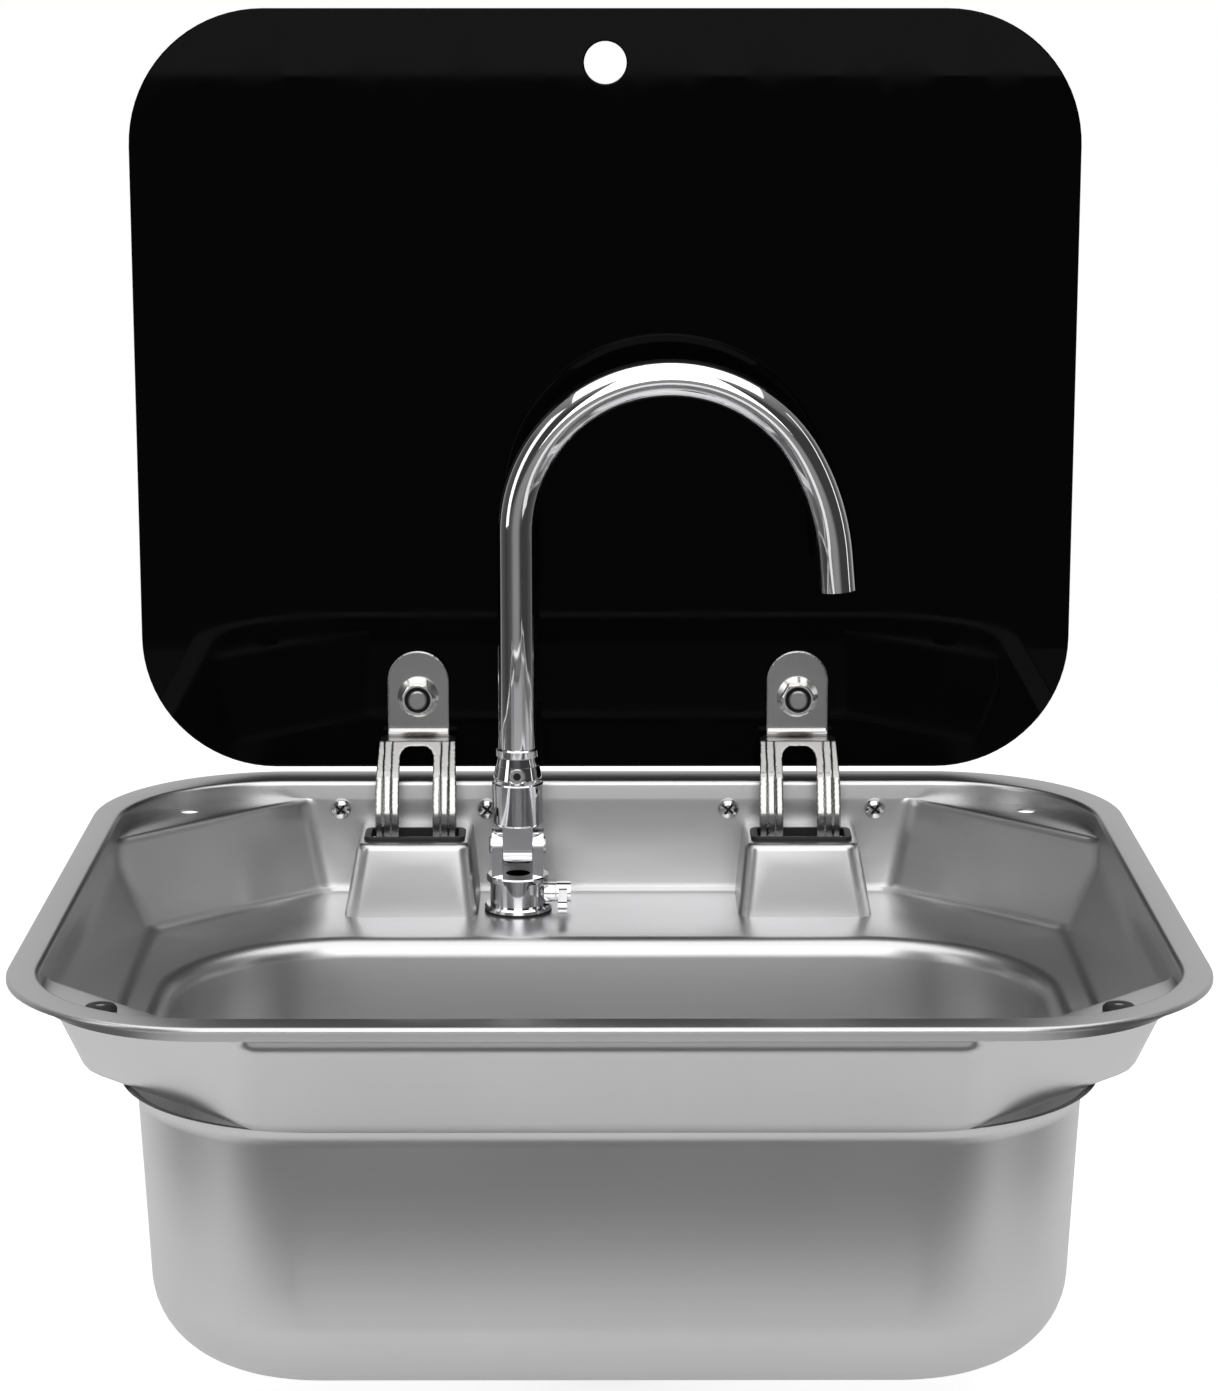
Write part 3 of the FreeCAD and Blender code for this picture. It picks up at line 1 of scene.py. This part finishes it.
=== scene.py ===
import json
import math
import bpy
from mathutils import Euler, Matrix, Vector

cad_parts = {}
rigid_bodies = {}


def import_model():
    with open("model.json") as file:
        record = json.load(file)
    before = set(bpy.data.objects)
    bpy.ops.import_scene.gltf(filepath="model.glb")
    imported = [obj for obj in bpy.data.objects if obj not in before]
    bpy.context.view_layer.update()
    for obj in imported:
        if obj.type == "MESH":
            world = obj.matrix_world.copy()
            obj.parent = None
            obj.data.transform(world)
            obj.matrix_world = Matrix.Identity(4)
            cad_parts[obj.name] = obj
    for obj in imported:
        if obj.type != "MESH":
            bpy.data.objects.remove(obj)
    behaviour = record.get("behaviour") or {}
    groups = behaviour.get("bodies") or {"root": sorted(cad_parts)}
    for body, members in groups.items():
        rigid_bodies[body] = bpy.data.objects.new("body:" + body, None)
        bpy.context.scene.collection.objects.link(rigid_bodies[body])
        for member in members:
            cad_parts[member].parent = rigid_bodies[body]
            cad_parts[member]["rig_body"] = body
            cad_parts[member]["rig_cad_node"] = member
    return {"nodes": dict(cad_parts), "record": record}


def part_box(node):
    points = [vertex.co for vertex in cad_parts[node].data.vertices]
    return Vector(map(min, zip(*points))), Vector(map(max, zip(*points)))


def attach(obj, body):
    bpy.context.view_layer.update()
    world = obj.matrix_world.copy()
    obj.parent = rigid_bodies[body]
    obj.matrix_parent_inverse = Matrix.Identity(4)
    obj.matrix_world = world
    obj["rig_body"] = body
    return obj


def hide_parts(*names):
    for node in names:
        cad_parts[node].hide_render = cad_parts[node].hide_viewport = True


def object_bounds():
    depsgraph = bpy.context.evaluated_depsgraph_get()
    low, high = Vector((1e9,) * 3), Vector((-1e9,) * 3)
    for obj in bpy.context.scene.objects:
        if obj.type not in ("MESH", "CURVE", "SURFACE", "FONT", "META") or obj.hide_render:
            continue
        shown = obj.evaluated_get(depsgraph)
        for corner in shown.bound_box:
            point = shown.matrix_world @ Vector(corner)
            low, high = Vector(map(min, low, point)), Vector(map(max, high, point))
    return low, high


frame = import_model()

# Pressed steel sink with a black glass lid and a folding tap. Metres, +Z up, front towards -Y.

solid_box = [list(corner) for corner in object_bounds()]

record = frame["record"]
bodies_of_nodes = {node: body for body, nodes in record["behaviour"]["bodies"].items()
                   for node in nodes}

LIE_ALONG_X = (0, math.radians(90), 0)      # turns of a cylinder that stands on z
LIE_ALONG_Y = (math.radians(90), 0, 0)


# ---------------------------------------------------------------- small tools
def pick_nothing():
    bpy.ops.object.select_all(action="DESELECT")


def pick(*things):
    """Selects these objects and nothing else; the last one is active."""
    pick_nothing()
    for thing in things:
        thing.select_set(True)
    bpy.context.view_layer.objects.active = things[-1]


def edit(thing):
    """Opens a piece with all of its mesh selected."""
    pick(thing)
    bpy.ops.object.mode_set(mode="EDIT")
    bpy.ops.mesh.select_all(action="SELECT")


def done():
    bpy.ops.object.mode_set(mode="OBJECT")


def add_modifier(thing, kind, **settings):
    """Adds a modifier to a piece and applies it."""
    pick(thing)
    modifier = thing.modifiers.new(kind.lower(), kind)
    for name, value in settings.items():
        setattr(modifier, name, value)
    bpy.ops.object.modifier_apply(modifier=modifier.name)


def settle(thing):
    """Puts a piece's place, turn and scale into its mesh."""
    pick(thing)
    bpy.ops.object.transform_apply(location=True, rotation=True, scale=True)


def smooth(thing, degrees):
    """Shades a piece smooth, but keeps a crease where faces meet at more than this angle."""
    pick(thing)
    bpy.ops.object.shade_smooth_by_angle(angle=math.radians(degrees))


def middle(low, high):
    """Middle of a box given by two of its corners."""
    return [(a + b) / 2 for a, b in zip(low, high)]


def finish_piece(thing, name, body, finish, replaced=()):
    """Names a piece, gives it its material and its body, and hides the nodes it stands for."""
    thing.name = thing.data.name = name
    thing.data.materials.clear()
    thing.data.materials.append(finish)
    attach(thing, body)
    if replaced:
        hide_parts(*replaced)
    return thing


FACET_WELD = 2e-6           # corners of a solid's facets closer than this are one
FLAT_ANGLE = 1.0            # faces that meet below this angle (degrees) are made one
SHARP_ANGLE = 38            # edges above this angle (degrees) are broken
BREAK_STEPS = 2             # faces across a broken edge


def dressed(node, finish, degrees, edge_round=0.0):
    """Copy of a solid with its facets joined, its sharp edges broken and its curves smooth."""
    pick(frame["nodes"][node])
    bpy.ops.object.duplicate()
    piece = bpy.context.view_layer.objects.active
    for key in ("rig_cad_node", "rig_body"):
        if key in piece:
            del piece[key]
    pick(piece)
    bpy.ops.object.parent_clear(type="CLEAR_KEEP_TRANSFORM")
    bpy.ops.mesh.customdata_custom_splitnormals_clear()
    edit(piece)
    bpy.ops.mesh.remove_doubles(threshold=FACET_WELD)
    if edge_round:
        bpy.ops.mesh.dissolve_limited(angle_limit=math.radians(FLAT_ANGLE))
    done()
    if edge_round:
        add_modifier(piece, "BEVEL", width=edge_round, segments=BREAK_STEPS,
                     limit_method="ANGLE", angle_limit=math.radians(SHARP_ANGLE),
                     use_clamp_overlap=True)
    smooth(piece, degrees)
    return finish_piece(piece, node + "_dressed", bodies_of_nodes[node], finish,
                        [node])


RING_SIDES = 64
RING_WELD = 1e-6


def turned(name, outline, centre, turn=(0, 0, 0)):
    """Ring made about z from a closed outline of (radius, height), then turned and placed."""
    start_radius, start_height = outline[0]
    pick_nothing()
    bpy.ops.mesh.primitive_circle_add(vertices=RING_SIDES, radius=start_radius,
                                      location=(0, 0, start_height))
    ring = bpy.context.active_object
    ring.name = name
    settle(ring)
    edit(ring)
    for (radius, height), (wider, higher) in zip(outline, outline[1:] + outline[:1]):
        bpy.ops.mesh.extrude_region_move(TRANSFORM_OT_translate={"value": (0, 0, higher - height)})
        grow = wider / radius
        bpy.ops.transform.resize(value=(grow, grow, 1), center_override=(0, 0, higher))
    bpy.ops.mesh.select_all(action="SELECT")
    bpy.ops.mesh.remove_doubles(threshold=RING_WELD)
    bpy.ops.mesh.normals_make_consistent(inside=False)
    done()
    ring.rotation_euler = turn
    ring.location = centre
    settle(ring)
    return ring


def rod(sides, radius, length, centre, turn):
    """Cylinder to cut with."""
    bpy.ops.mesh.primitive_cylinder_add(vertices=sides, radius=radius, depth=length,
                                        rotation=turn, location=centre)
    made = bpy.context.active_object
    settle(made)
    return made


def cut_away(piece, *cutters):
    """Cuts each cutter out of a piece and throws the cutters away."""
    for cutter in cutters:
        add_modifier(piece, "BOOLEAN", operation="DIFFERENCE", object=cutter, solver="EXACT",
                     material_mode="TRANSFER")
    pick(*cutters)
    bpy.ops.object.delete()


# ---------------------------------------------------------------- shared effects
def effect(name, inputs, outputs):
    """Shader node group with inputs {name: (kind, value)} and outputs {name: kind}."""
    group = bpy.data.node_groups.new(name, "ShaderNodeTree")
    for label, (kind, value) in inputs.items():
        socket = group.interface.new_socket(label, in_out="INPUT", socket_type="NodeSocket" + kind)
        socket.default_value = value
    for label, kind in outputs.items():
        group.interface.new_socket(label, in_out="OUTPUT", socket_type="NodeSocket" + kind)
    return group, group.nodes.new("NodeGroupInput"), group.nodes.new("NodeGroupOutput")


def node(tree, kind, **settings):
    """Adds a shader node and sets its inputs, or else its properties, by name."""
    made = tree.nodes.new("ShaderNode" + kind)
    for name, value in settings.items():
        if name in made.inputs:
            made.inputs[name].default_value = value
        else:
            setattr(made, name, value)
    return made


def maths(tree, operation, first, second, clamp=False):
    """Output of a Math node whose inputs are numbers or the outputs of other nodes."""
    made = node(tree, "Math", operation=operation, use_clamp=clamp)
    for socket, value in zip(made.inputs, (first, second)):
        if isinstance(value, (int, float)):
            socket.default_value = value
        else:
            tree.links.new(value, socket)
    return made.outputs[0]


def swing(tree, noise, strength):
    """A noise of 0 to 1 made to swing evenly about 0, by this strength."""
    return maths(tree, "MULTIPLY", maths(tree, "SUBTRACT", noise, 0.5), strength)


CLOUD_SCALE = 14.0          # clouds of uneven polish, per metre
SHADE_OF_ROUGHNESS = -0.9   # the colour gets this much darker as the roughness goes up


def brushed_lines():
    """Fine straight brush marks along one direction, with soft clouds of uneven polish."""
    group, given, out = effect("brushed_lines", {
        "Along": ("Vector", (1.0, 1.0, 1.0)), "Clouds": ("Float", 0.06),
        "Roughness": ("Float", 0.3), "Lines": ("Float", 0.05)},
        {"Roughness": "Float", "Height": "Float", "Shade": "Float"})
    place = node(group, "TexCoord")
    stretch = node(group, "Mapping", vector_type="POINT")
    group.links.new(place.outputs["Object"], stretch.inputs["Vector"])
    group.links.new(given.outputs["Along"], stretch.inputs["Scale"])
    lines = node(group, "TexNoise", Scale=1.0, Detail=3.0, Roughness=0.65)
    group.links.new(stretch.outputs["Vector"], lines.inputs["Vector"])
    clouds = node(group, "TexNoise", Scale=CLOUD_SCALE, Detail=3.0, Roughness=0.5)
    group.links.new(place.outputs["Object"], clouds.inputs["Vector"])
    total = maths(group, "ADD", swing(group, lines.outputs["Fac"], given.outputs["Lines"]),
                  swing(group, clouds.outputs["Fac"], given.outputs["Clouds"]))
    group.links.new(maths(group, "ADD", total, given.outputs["Roughness"], clamp=True),
                    out.inputs["Roughness"])
    group.links.new(lines.outputs["Fac"], out.inputs["Height"])
    group.links.new(maths(group, "ADD", maths(group, "MULTIPLY", total, SHADE_OF_ROUGHNESS), 1.0),
                    out.inputs["Shade"])
    return group


def fine_grain():
    """Even grain, as on moulded rubber and plastic or on ground metal."""
    group, given, out = effect("fine_grain", {
        "Scale": ("Float", 2500.0), "Colour": ("Color", (0.5, 0.5, 0.5, 1)),
        "Contrast": ("Float", 0.2)}, {"Colour": "Color", "Height": "Float"})
    place = node(group, "TexCoord")
    grain = node(group, "TexNoise", Detail=2.0, Roughness=0.6)
    group.links.new(place.outputs["Object"], grain.inputs["Vector"])
    group.links.new(given.outputs["Scale"], grain.inputs["Scale"])
    level = maths(group, "ADD", swing(group, grain.outputs["Fac"], given.outputs["Contrast"]), 1.0)
    tint = node(group, "VectorMath", operation="SCALE")
    group.links.new(given.outputs["Colour"], tint.inputs[0])
    group.links.new(level, tint.inputs["Scale"])
    group.links.new(tint.outputs["Vector"], out.inputs["Colour"])
    group.links.new(grain.outputs["Fac"], out.inputs["Height"])
    return group


BRUSHED = brushed_lines()
GRAIN = fine_grain()
ROUGHNESS_SWING = 0.12      # how far the roughness of a grained finish goes up and down in all
LINE_DEPTH = 0.00002
GRAIN_DEPTH = 0.00005


def new_material(name):
    material = bpy.data.materials.new(name)
    material.use_nodes = True
    tree = material.node_tree
    return material, tree, tree.nodes["Principled BSDF"]


def place_effect(tree, group, **values):
    """Puts a shared effect into a material, with its own values."""
    placed = node(tree, "Group", node_tree=group)
    for name, value in values.items():
        placed.inputs[name].default_value = value
    return placed


def add_relief(tree, height, strength, depth, shader):
    relief = node(tree, "Bump", Strength=strength, Distance=depth)
    tree.links.new(height, relief.inputs["Height"])
    tree.links.new(relief.outputs["Normal"], shader.inputs["Normal"])


def brushed_metal(name, colour, roughness, along, lines=0.05, clouds=0.06, bump=0.02):
    """Brushed metal; `along` is the fineness on x, y and z, low on the axis of the marks."""
    material, tree, shader = new_material(name)
    shader.inputs["Metallic"].default_value = 1.0
    marks = place_effect(tree, BRUSHED, Along=along, Clouds=clouds, Roughness=roughness,
                         Lines=lines)
    tint = node(tree, "VectorMath", operation="SCALE")
    tint.inputs[0].default_value = colour
    tree.links.new(marks.outputs["Shade"], tint.inputs["Scale"])
    tree.links.new(tint.outputs["Vector"], shader.inputs["Base Color"])
    tree.links.new(marks.outputs["Roughness"], shader.inputs["Roughness"])
    add_relief(tree, marks.outputs["Height"], bump, LINE_DEPTH, shader)
    return material


def grained(name, colour, roughness, scale, contrast=0.2, bump=0.1, metallic=0.0, specular=0.5):
    """Finish with an even grain of this many grains to the metre."""
    material, tree, shader = new_material(name)
    shader.inputs["Metallic"].default_value = metallic
    shader.inputs["Specular IOR Level"].default_value = specular
    grain = place_effect(tree, GRAIN, Scale=scale, Colour=(*colour, 1), Contrast=contrast)
    tree.links.new(grain.outputs["Colour"], shader.inputs["Base Color"])
    rough = maths(tree, "ADD", maths(tree, "MULTIPLY", grain.outputs["Height"], ROUGHNESS_SWING),
                  roughness - ROUGHNESS_SWING / 2)
    tree.links.new(rough, shader.inputs["Roughness"])
    add_relief(tree, grain.outputs["Height"], bump, GRAIN_DEPTH, shader)
    return material


pressed_steel = brushed_metal("pressed_steel", (0.60, 0.60, 0.605), 0.33,
                              along=(6.0, 1400.0, 1400.0))
arm_steel = brushed_metal("arm_steel", (0.43, 0.425, 0.42), 0.20,
                          along=(1800.0, 1800.0, 25.0), lines=0.10, bump=0.05)
thread_steel = grained("thread_steel", (0.42, 0.42, 0.42), 0.36, 1400.0, metallic=1.0)
plain_steel = grained("plain_steel", (0.55, 0.55, 0.55), 0.32, 900.0, metallic=1.0)
plated = grained("plated", (0.72, 0.71, 0.70), 0.17, 600.0,
                 contrast=0.12, bump=0.04, metallic=1.0)
chrome = grained("chrome", (0.80, 0.80, 0.81), 0.045, 60.0,
                 contrast=0.04, bump=0.0, metallic=1.0)
brass = grained("brass", (0.66, 0.50, 0.24), 0.28, 900.0, metallic=1.0)
# Painted shade: near black put on the faces of hollows, cross cuts and sockets, where the steel
# lies in shade.
recess_painted_shade = grained("recess_painted_shade", (0.015, 0.015, 0.016), 0.6, 1600.0)
black_rubber = grained("black_rubber", (0.012, 0.012, 0.012), 0.48, 1800.0, specular=0.3)
black_plastic = grained("black_plastic", (0.02, 0.02, 0.021), 0.42, 1500.0)
grey_plastic = grained("grey_plastic", (0.22, 0.22, 0.22), 0.4, 1500.0)
black_glass = grained("black_glass", (0.0015, 0.0015, 0.0018), 0.03, 40.0,
                      contrast=0.3, bump=0.0, specular=0.04)

# ---------------------------------------------------------------- pieces that follow their solid
# Angles (degrees) above which the faces of a piece keep a crease between them.
SHEET_CREASE = 28
CREASE = 32
BRACKET_CREASE = 40
NUT_CREASE = 40
ARM_CREASE = 60
BRACKET_EDGE = 0.0002       # width of the broken edges of the brackets

PLAIN_PIECES = (
    ("lid_buffers", black_rubber),
    ("buffer_pins", grey_plastic),
    ("slot_gasket_left", black_rubber),
    ("slot_gasket_right", black_rubber),
    ("hinge_pins", plain_steel),
    ("hinge_screw_nuts", plated),
    ("tap_body", chrome),
    ("tap_seal", black_rubber),
    ("tap_lower_seal", black_rubber),
    ("tap_washer", plain_steel),
    ("tap_nut", brass),
    ("drain_flange", plain_steel),
    ("drain_gasket", black_rubber),
    ("drain_nut", black_plastic),
    ("drain_cup", black_plastic),
    ("lid_bolts", thread_steel),
    ("lid_pads", black_rubber),
    ("lid_washers", plain_steel),
    ("tap_head", chrome),
    ("fold_pin", plain_steel),
    ("spout_outlet", grey_plastic),
    ("tap_lever", chrome),
    ("lever_spindle", brass),
    ("drain_plug", black_rubber),
    ("spout_tube", chrome),
    ("glass_lid", black_glass),
)

dressed("sink_bowl", pressed_steel, SHEET_CREASE)
for name, finish in PLAIN_PIECES:
    dressed(name, finish, CREASE)
for name in ("hinge_bracket_left", "hinge_bracket_right"):
    dressed(name, plain_steel, BRACKET_CREASE, BRACKET_EDGE)

# ---------------------------------------------------------------- hinge arms
# Pressed sheet, so every edge gets a soft radius. The arm leans on all three axes while it is
# made again from small cubes, because edges that run along them would come out in steps.
PIN_PLAY = 0.00012          # room round the hinge pin, which the remesh would close
PIN_REACH = 0.5             # the cutter of the pin's hole runs through both arms
PIN_SIDES = 64
ARM_LEAN = Euler((0.5, 0.35, 0.6)).to_quaternion()
CUBE_SIZE = 0.00038
SOFTNESS = 0.5
SOFTENING_ROUNDS = 10


def lean(piece, turn):
    """Turns a piece about the origin and puts the turn into its mesh."""
    piece.rotation_mode = "QUATERNION"
    piece.rotation_quaternion = turn
    settle(piece)
    piece.rotation_mode = "XYZ"


pin_low, pin_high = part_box("hinge_pins")
pin_middle = middle(pin_low, pin_high)
pin_radius = (pin_high[2] - pin_low[2]) / 2
for name in ("hinge_arm_left", "hinge_arm_right"):
    arm = dressed(name, arm_steel, ARM_CREASE)
    lean(arm, ARM_LEAN)
    add_modifier(arm, "REMESH", mode="VOXEL", voxel_size=CUBE_SIZE)
    add_modifier(arm, "SMOOTH", factor=SOFTNESS, iterations=SOFTENING_ROUNDS)
    lean(arm, ARM_LEAN.inverted())
    cut_away(arm, rod(PIN_SIDES, pin_radius + PIN_PLAY, PIN_REACH,
                      (0, pin_middle[1], pin_middle[2]), LIE_ALONG_X))
    smooth(arm, ARM_CREASE)

# ---------------------------------------------------------------- nuts of the lid
# Hollowed a little round the end of the bolt, and the hollow's faces painted near black as painted
# shade. Heights are from the nut's face, forwards.
NUT_FLANGE_R = 0.0087
NUT_HOLLOW = [(0.0036, -0.0002), (0.0041, -0.0016), (0.0057, 0.0002), (0.0057, 0.001),
              (0.0036, 0.001)]
NUT_EDGE = 0.00025
NUT_SHARP_ANGLE = 28

nut_low, nut_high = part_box("lid_nuts")
nut_height = middle(nut_low, nut_high)[2]
nuts = dressed("lid_nuts", plated, NUT_CREASE)
hollows = [turned("hollow", NUT_HOLLOW, (x, nut_low[1], nut_height), LIE_ALONG_Y)
           for x in (nut_low[0] + NUT_FLANGE_R, nut_high[0] - NUT_FLANGE_R)]
for hollow in hollows:
    hollow.data.materials.append(recess_painted_shade)
cut_away(nuts, *hollows)
add_modifier(nuts, "BEVEL", width=NUT_EDGE, segments=BREAK_STEPS, limit_method="ANGLE",
             angle_limit=math.radians(NUT_SHARP_ANGLE), use_clamp_overlap=True)
smooth(nuts, NUT_CREASE)

# ---------------------------------------------------------------- hinge screws
# Two to a hinge, with a cross cut into each head; the cross's faces are painted near black as
# painted shade.
HEAD_R = 0.0044
HEAD_APART = 0.062          # between the two screws of one hinge
CROSS_TURN = 38
CROSS_ARM = (0.0010, 0.0032, 0.0050)        # width, twice the depth, length

screw_low, screw_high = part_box("hinge_screws")
screw_height = middle(screw_low, screw_high)[2]
screws = dressed("hinge_screws", plated, CREASE)
crosses = []
for x in (screw_low[0] + HEAD_R, screw_low[0] + HEAD_R + HEAD_APART,
          screw_high[0] - HEAD_R - HEAD_APART, screw_high[0] - HEAD_R):
    for turn in (CROSS_TURN, CROSS_TURN + 90):
        bpy.ops.mesh.primitive_cube_add(size=1, location=(x, screw_low[1], screw_height),
                                        rotation=(0, math.radians(turn), 0), scale=CROSS_ARM)
        cross = bpy.context.active_object
        cross.data.materials.append(recess_painted_shade)
        settle(cross)
        crosses.append(cross)
cut_away(screws, *crosses)
smooth(screws, CREASE)

# ---------------------------------------------------------------- socket of the spout
# A cone under a collar, with a hole for the grub screw. Heights are from the collar's top.
GROOVE = [(0.0090, -0.0072), (0.0083, -0.0039), (0.0083, -0.0033), (0.0120, -0.0033),
          (0.0120, -0.0072)]
CONE = [(0.0088, -0.0145), (0.0101, -0.0145), (0.0101, -0.0123), (0.0099, -0.0116),
        (0.00902, -0.0073), (0.0088, -0.0073)]
GRUB_HOLE_R = 0.00355
GRUB_HOLE_DEPTH = 0.008
GRUB_HOLE_SIDES = 48
GRUB_SOCKET_R = 0.0017
SOCKET_SHADE_SLOT = 1               # second material of the grub screw, painted shade in its socket

knuckle = dressed("spout_knuckle", chrome, CREASE)
knuckle_low, knuckle_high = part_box("spout_knuckle")
tap_x, tap_y, _ = middle(knuckle_low, knuckle_high)
collar_top = (tap_x, tap_y, knuckle_high[2])
cut_away(knuckle, turned("groove", GROOVE, collar_top))
smooth(knuckle, CREASE)

cone = turned("spout_cone", CONE, collar_top)
grub_low, grub_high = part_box("spout_screw")
grub_height = middle(grub_low, grub_high)[2]
grub = dressed("spout_screw", plain_steel, CREASE)
# Faces of the socket in the grub screw's face get painted shade.
grub.data.materials.append(recess_painted_shade)
for face in grub.data.polygons:
    from_axis = math.hypot(face.center.x - tap_x, face.center.z - grub_height)
    if from_axis < GRUB_SOCKET_R and face.center.y < tap_y:
        face.material_index = SOCKET_SHADE_SLOT
cut_away(cone, rod(GRUB_HOLE_SIDES, GRUB_HOLE_R, GRUB_HOLE_DEPTH,
                   (tap_x, grub_low[1], grub_height), LIE_ALONG_Y))
smooth(cone, CREASE)
finish_piece(cone, "spout_cone", bodies_of_nodes["spout_knuckle"], chrome)

# ---------------------------------------------------------------- paper of the studio
FLOOR_GAP = 0.0003          # between the sink's lowest point and the paper
PAPER_FRONT = 0.29          # the paper under the sink ends this far in front of the middle
PAPER_WIDE = 0.84
PAPER_DEEP = 1.4
CARD_NEAR = 0.55            # white card in front of the picture, which brightens the wall
CARD_FAR = 1.0              # under the rim
CARD_WIDE = 1.3
PAPER_LEVEL = 0.58
PAPER_GLOW = 0.8            # what the paper adds of its own where the camera sees it
PAPER_GLOW_MIRRORED = 0.38  # and where a mirror does
floor_level = solid_box[0][2] - FLOOR_GAP

paper, tree, shader = new_material("studio_paper")
shader.inputs["Base Color"].default_value = (PAPER_LEVEL, PAPER_LEVEL, PAPER_LEVEL, 1)
shader.inputs["Roughness"].default_value = 0.9
shader.inputs["Specular IOR Level"].default_value = 0.0
shader.inputs["Emission Color"].default_value = (1, 1, 1, 1)
rays = node(tree, "LightPath")
mirrored = maths(tree, "MAXIMUM", rays.outputs["Is Glossy Ray"],
                 rays.outputs["Is Transmission Ray"])
shown = maths(tree, "MAXIMUM",
              maths(tree, "MULTIPLY", rays.outputs["Is Camera Ray"], PAPER_GLOW),
              maths(tree, "MULTIPLY", mirrored, PAPER_GLOW_MIRRORED))
tree.links.new(shown, shader.inputs["Emission Strength"])


def lay_paper(name, middle_y, width, depth):
    """Sheet of paper on the floor."""
    bpy.ops.mesh.primitive_plane_add(size=1.0, location=(0, middle_y, floor_level))
    sheet = bpy.context.active_object
    sheet.name = name
    sheet.scale = (width, depth, 1)
    settle(sheet)
    sheet.data.materials.append(paper)
    return sheet


floor = lay_paper("studio_floor", PAPER_DEEP / 2 - PAPER_FRONT, PAPER_WIDE, PAPER_DEEP)
card = lay_paper("studio_card", -(CARD_NEAR + CARD_FAR) / 2, CARD_WIDE, CARD_FAR - CARD_NEAR)

# ---------------------------------------------------------------- light of the studio
# Levels along a direction, as (place, level): the place is 0 at the first end and 1 at the other.
FRONT_TO_REAR = [(0.0, 0.05), (0.25, 0.05), (0.5, 0.09), (0.75, 0.5), (1.0, 0.62)]
LEFT_TO_RIGHT = [(0.0, 0.1), (0.2, 0.3), (0.42, 1.0), (0.55, 1.0), (0.75, 0.15), (1.0, 0.1)]
HORIZON_TO_TOP = [(0.0, 0.0), (0.3, 0.0), (0.6, 0.18), (1.0, 0.45)]
# Soft light in front, a little under the horizon, which is at place 0.5.
LOW_IN_FRONT = [(0.0, 0.0), (0.1, 0.0), (0.27, 0.28), (0.42, 0.28), (0.5, 0.1), (0.7, 0.0)]
IN_FRONT = -0.1             # a direction whose y is below this is in front

world = bpy.context.scene.world or bpy.data.worlds.new("studio")
bpy.context.scene.world = world
world.use_nodes = True
tree = world.node_tree
tree.nodes.clear()
sky = node(tree, "TexCoord")
way = node(tree, "SeparateXYZ")
tree.links.new(sky.outputs["Generated"], way.inputs[0])


def ramp(source, points):
    """Grey level that follows a source through the given points."""
    made = node(tree, "ValToRGB")
    made.color_ramp.interpolation = "EASE"
    elements = made.color_ramp.elements
    while len(elements) > 1:
        elements.remove(elements[-1])
    for i, (place, level) in enumerate(points):
        element = elements[0] if i == 0 else elements.new(place)
        element.position = place
        element.color = (level, level, level, 1)
    tree.links.new(source, made.inputs[0])
    return made.outputs[0]


def whole_way(axis):
    """A direction's part on one axis, moved from -1 to 1 to 0 to 1."""
    return maths(tree, "ADD", maths(tree, "MULTIPLY", way.outputs[axis], 0.5), 0.5)


behind_and_above = maths(tree, "MAXIMUM", ramp(whole_way("Y"), FRONT_TO_REAR),
                         ramp(way.outputs["Z"], HORIZON_TO_TOP))
low_light = maths(tree, "MULTIPLY", ramp(maths(tree, "ADD", way.outputs["Z"], 0.5), LOW_IN_FRONT),
                  ramp(whole_way("X"), LEFT_TO_RIGHT))
low_light = maths(tree, "MULTIPLY", low_light,
                  maths(tree, "LESS_THAN", way.outputs["Y"], IN_FRONT))
studio_light = node(tree, "Background")
tree.links.new(maths(tree, "MAXIMUM", behind_and_above, low_light), studio_light.inputs["Color"])
white_wall = node(tree, "Background", Color=(1, 1, 1, 1), Strength=1.0)
rays = node(tree, "LightPath")
shown = maths(tree, "MAXIMUM", rays.outputs["Is Camera Ray"], rays.outputs["Is Transmission Ray"])
choice = node(tree, "MixShader")
tree.links.new(shown, choice.inputs[0])
tree.links.new(studio_light.outputs[0], choice.inputs[1])
tree.links.new(white_wall.outputs[0], choice.inputs[2])
surroundings = node(tree, "OutputWorld")
tree.links.new(choice.outputs[0], surroundings.inputs["Surface"])

SOFTBOXES = (               # name, place, the point it is turned to, width and height, watts
    ("overhead_softbox", (0, -0.2, 1.45), (0, 0, 0), (2.2, 1.6), 14),
    ("left_softbox", (-1.2, -0.7, 0.5), (0, 0.1, 0.1), (0.45, 1.2), 2.5),
    ("right_strip", (1.35, -0.25, 0.5), (0, 0.1, 0.1), (0.12, 1.2), 0.6),
    ("front_softbox", (0, -2.2, 1.2), (0, 0, 0.1), (1.5, 2.3), 25),
)
for name, place, aim, (width, height), watts in SOFTBOXES:
    bpy.ops.object.light_add(type="AREA", location=place)
    lamp = bpy.context.active_object
    lamp.name = name
    lamp.data.shape = "RECTANGLE"
    lamp.data.size = width
    lamp.data.size_y = height
    lamp.data.energy = watts
    lamp.rotation_euler = (Vector(aim) - Vector(place)).to_track_quat("-Z", "Y").to_euler()

# ---------------------------------------------------------------- camera
# Solved from the outlines of the rim and the lid in the photograph.
CAMERA_PLACE = (-0.00346, -1.3378, 0.36098)
LOOKS_DOWN = 12.09          # degrees under the horizon
LOOKS_ASIDE = -0.15         # degrees, to the right when below 0
FOCAL_LENGTH = 94.55        # millimetres, for the width of the sensor
SENSOR_WIDTH = 36.0
NEAREST = 0.01

bpy.ops.object.camera_add(location=CAMERA_PLACE)
camera = bpy.context.active_object
camera.rotation_euler = (math.radians(90 - LOOKS_DOWN), 0, math.radians(LOOKS_ASIDE))
camera.data.sensor_width = SENSOR_WIDTH
camera.data.lens = FOCAL_LENGTH
camera.data.clip_start = NEAREST
bpy.context.scene.camera = camera
bpy.context.scene.view_settings.view_transform = "Standard"
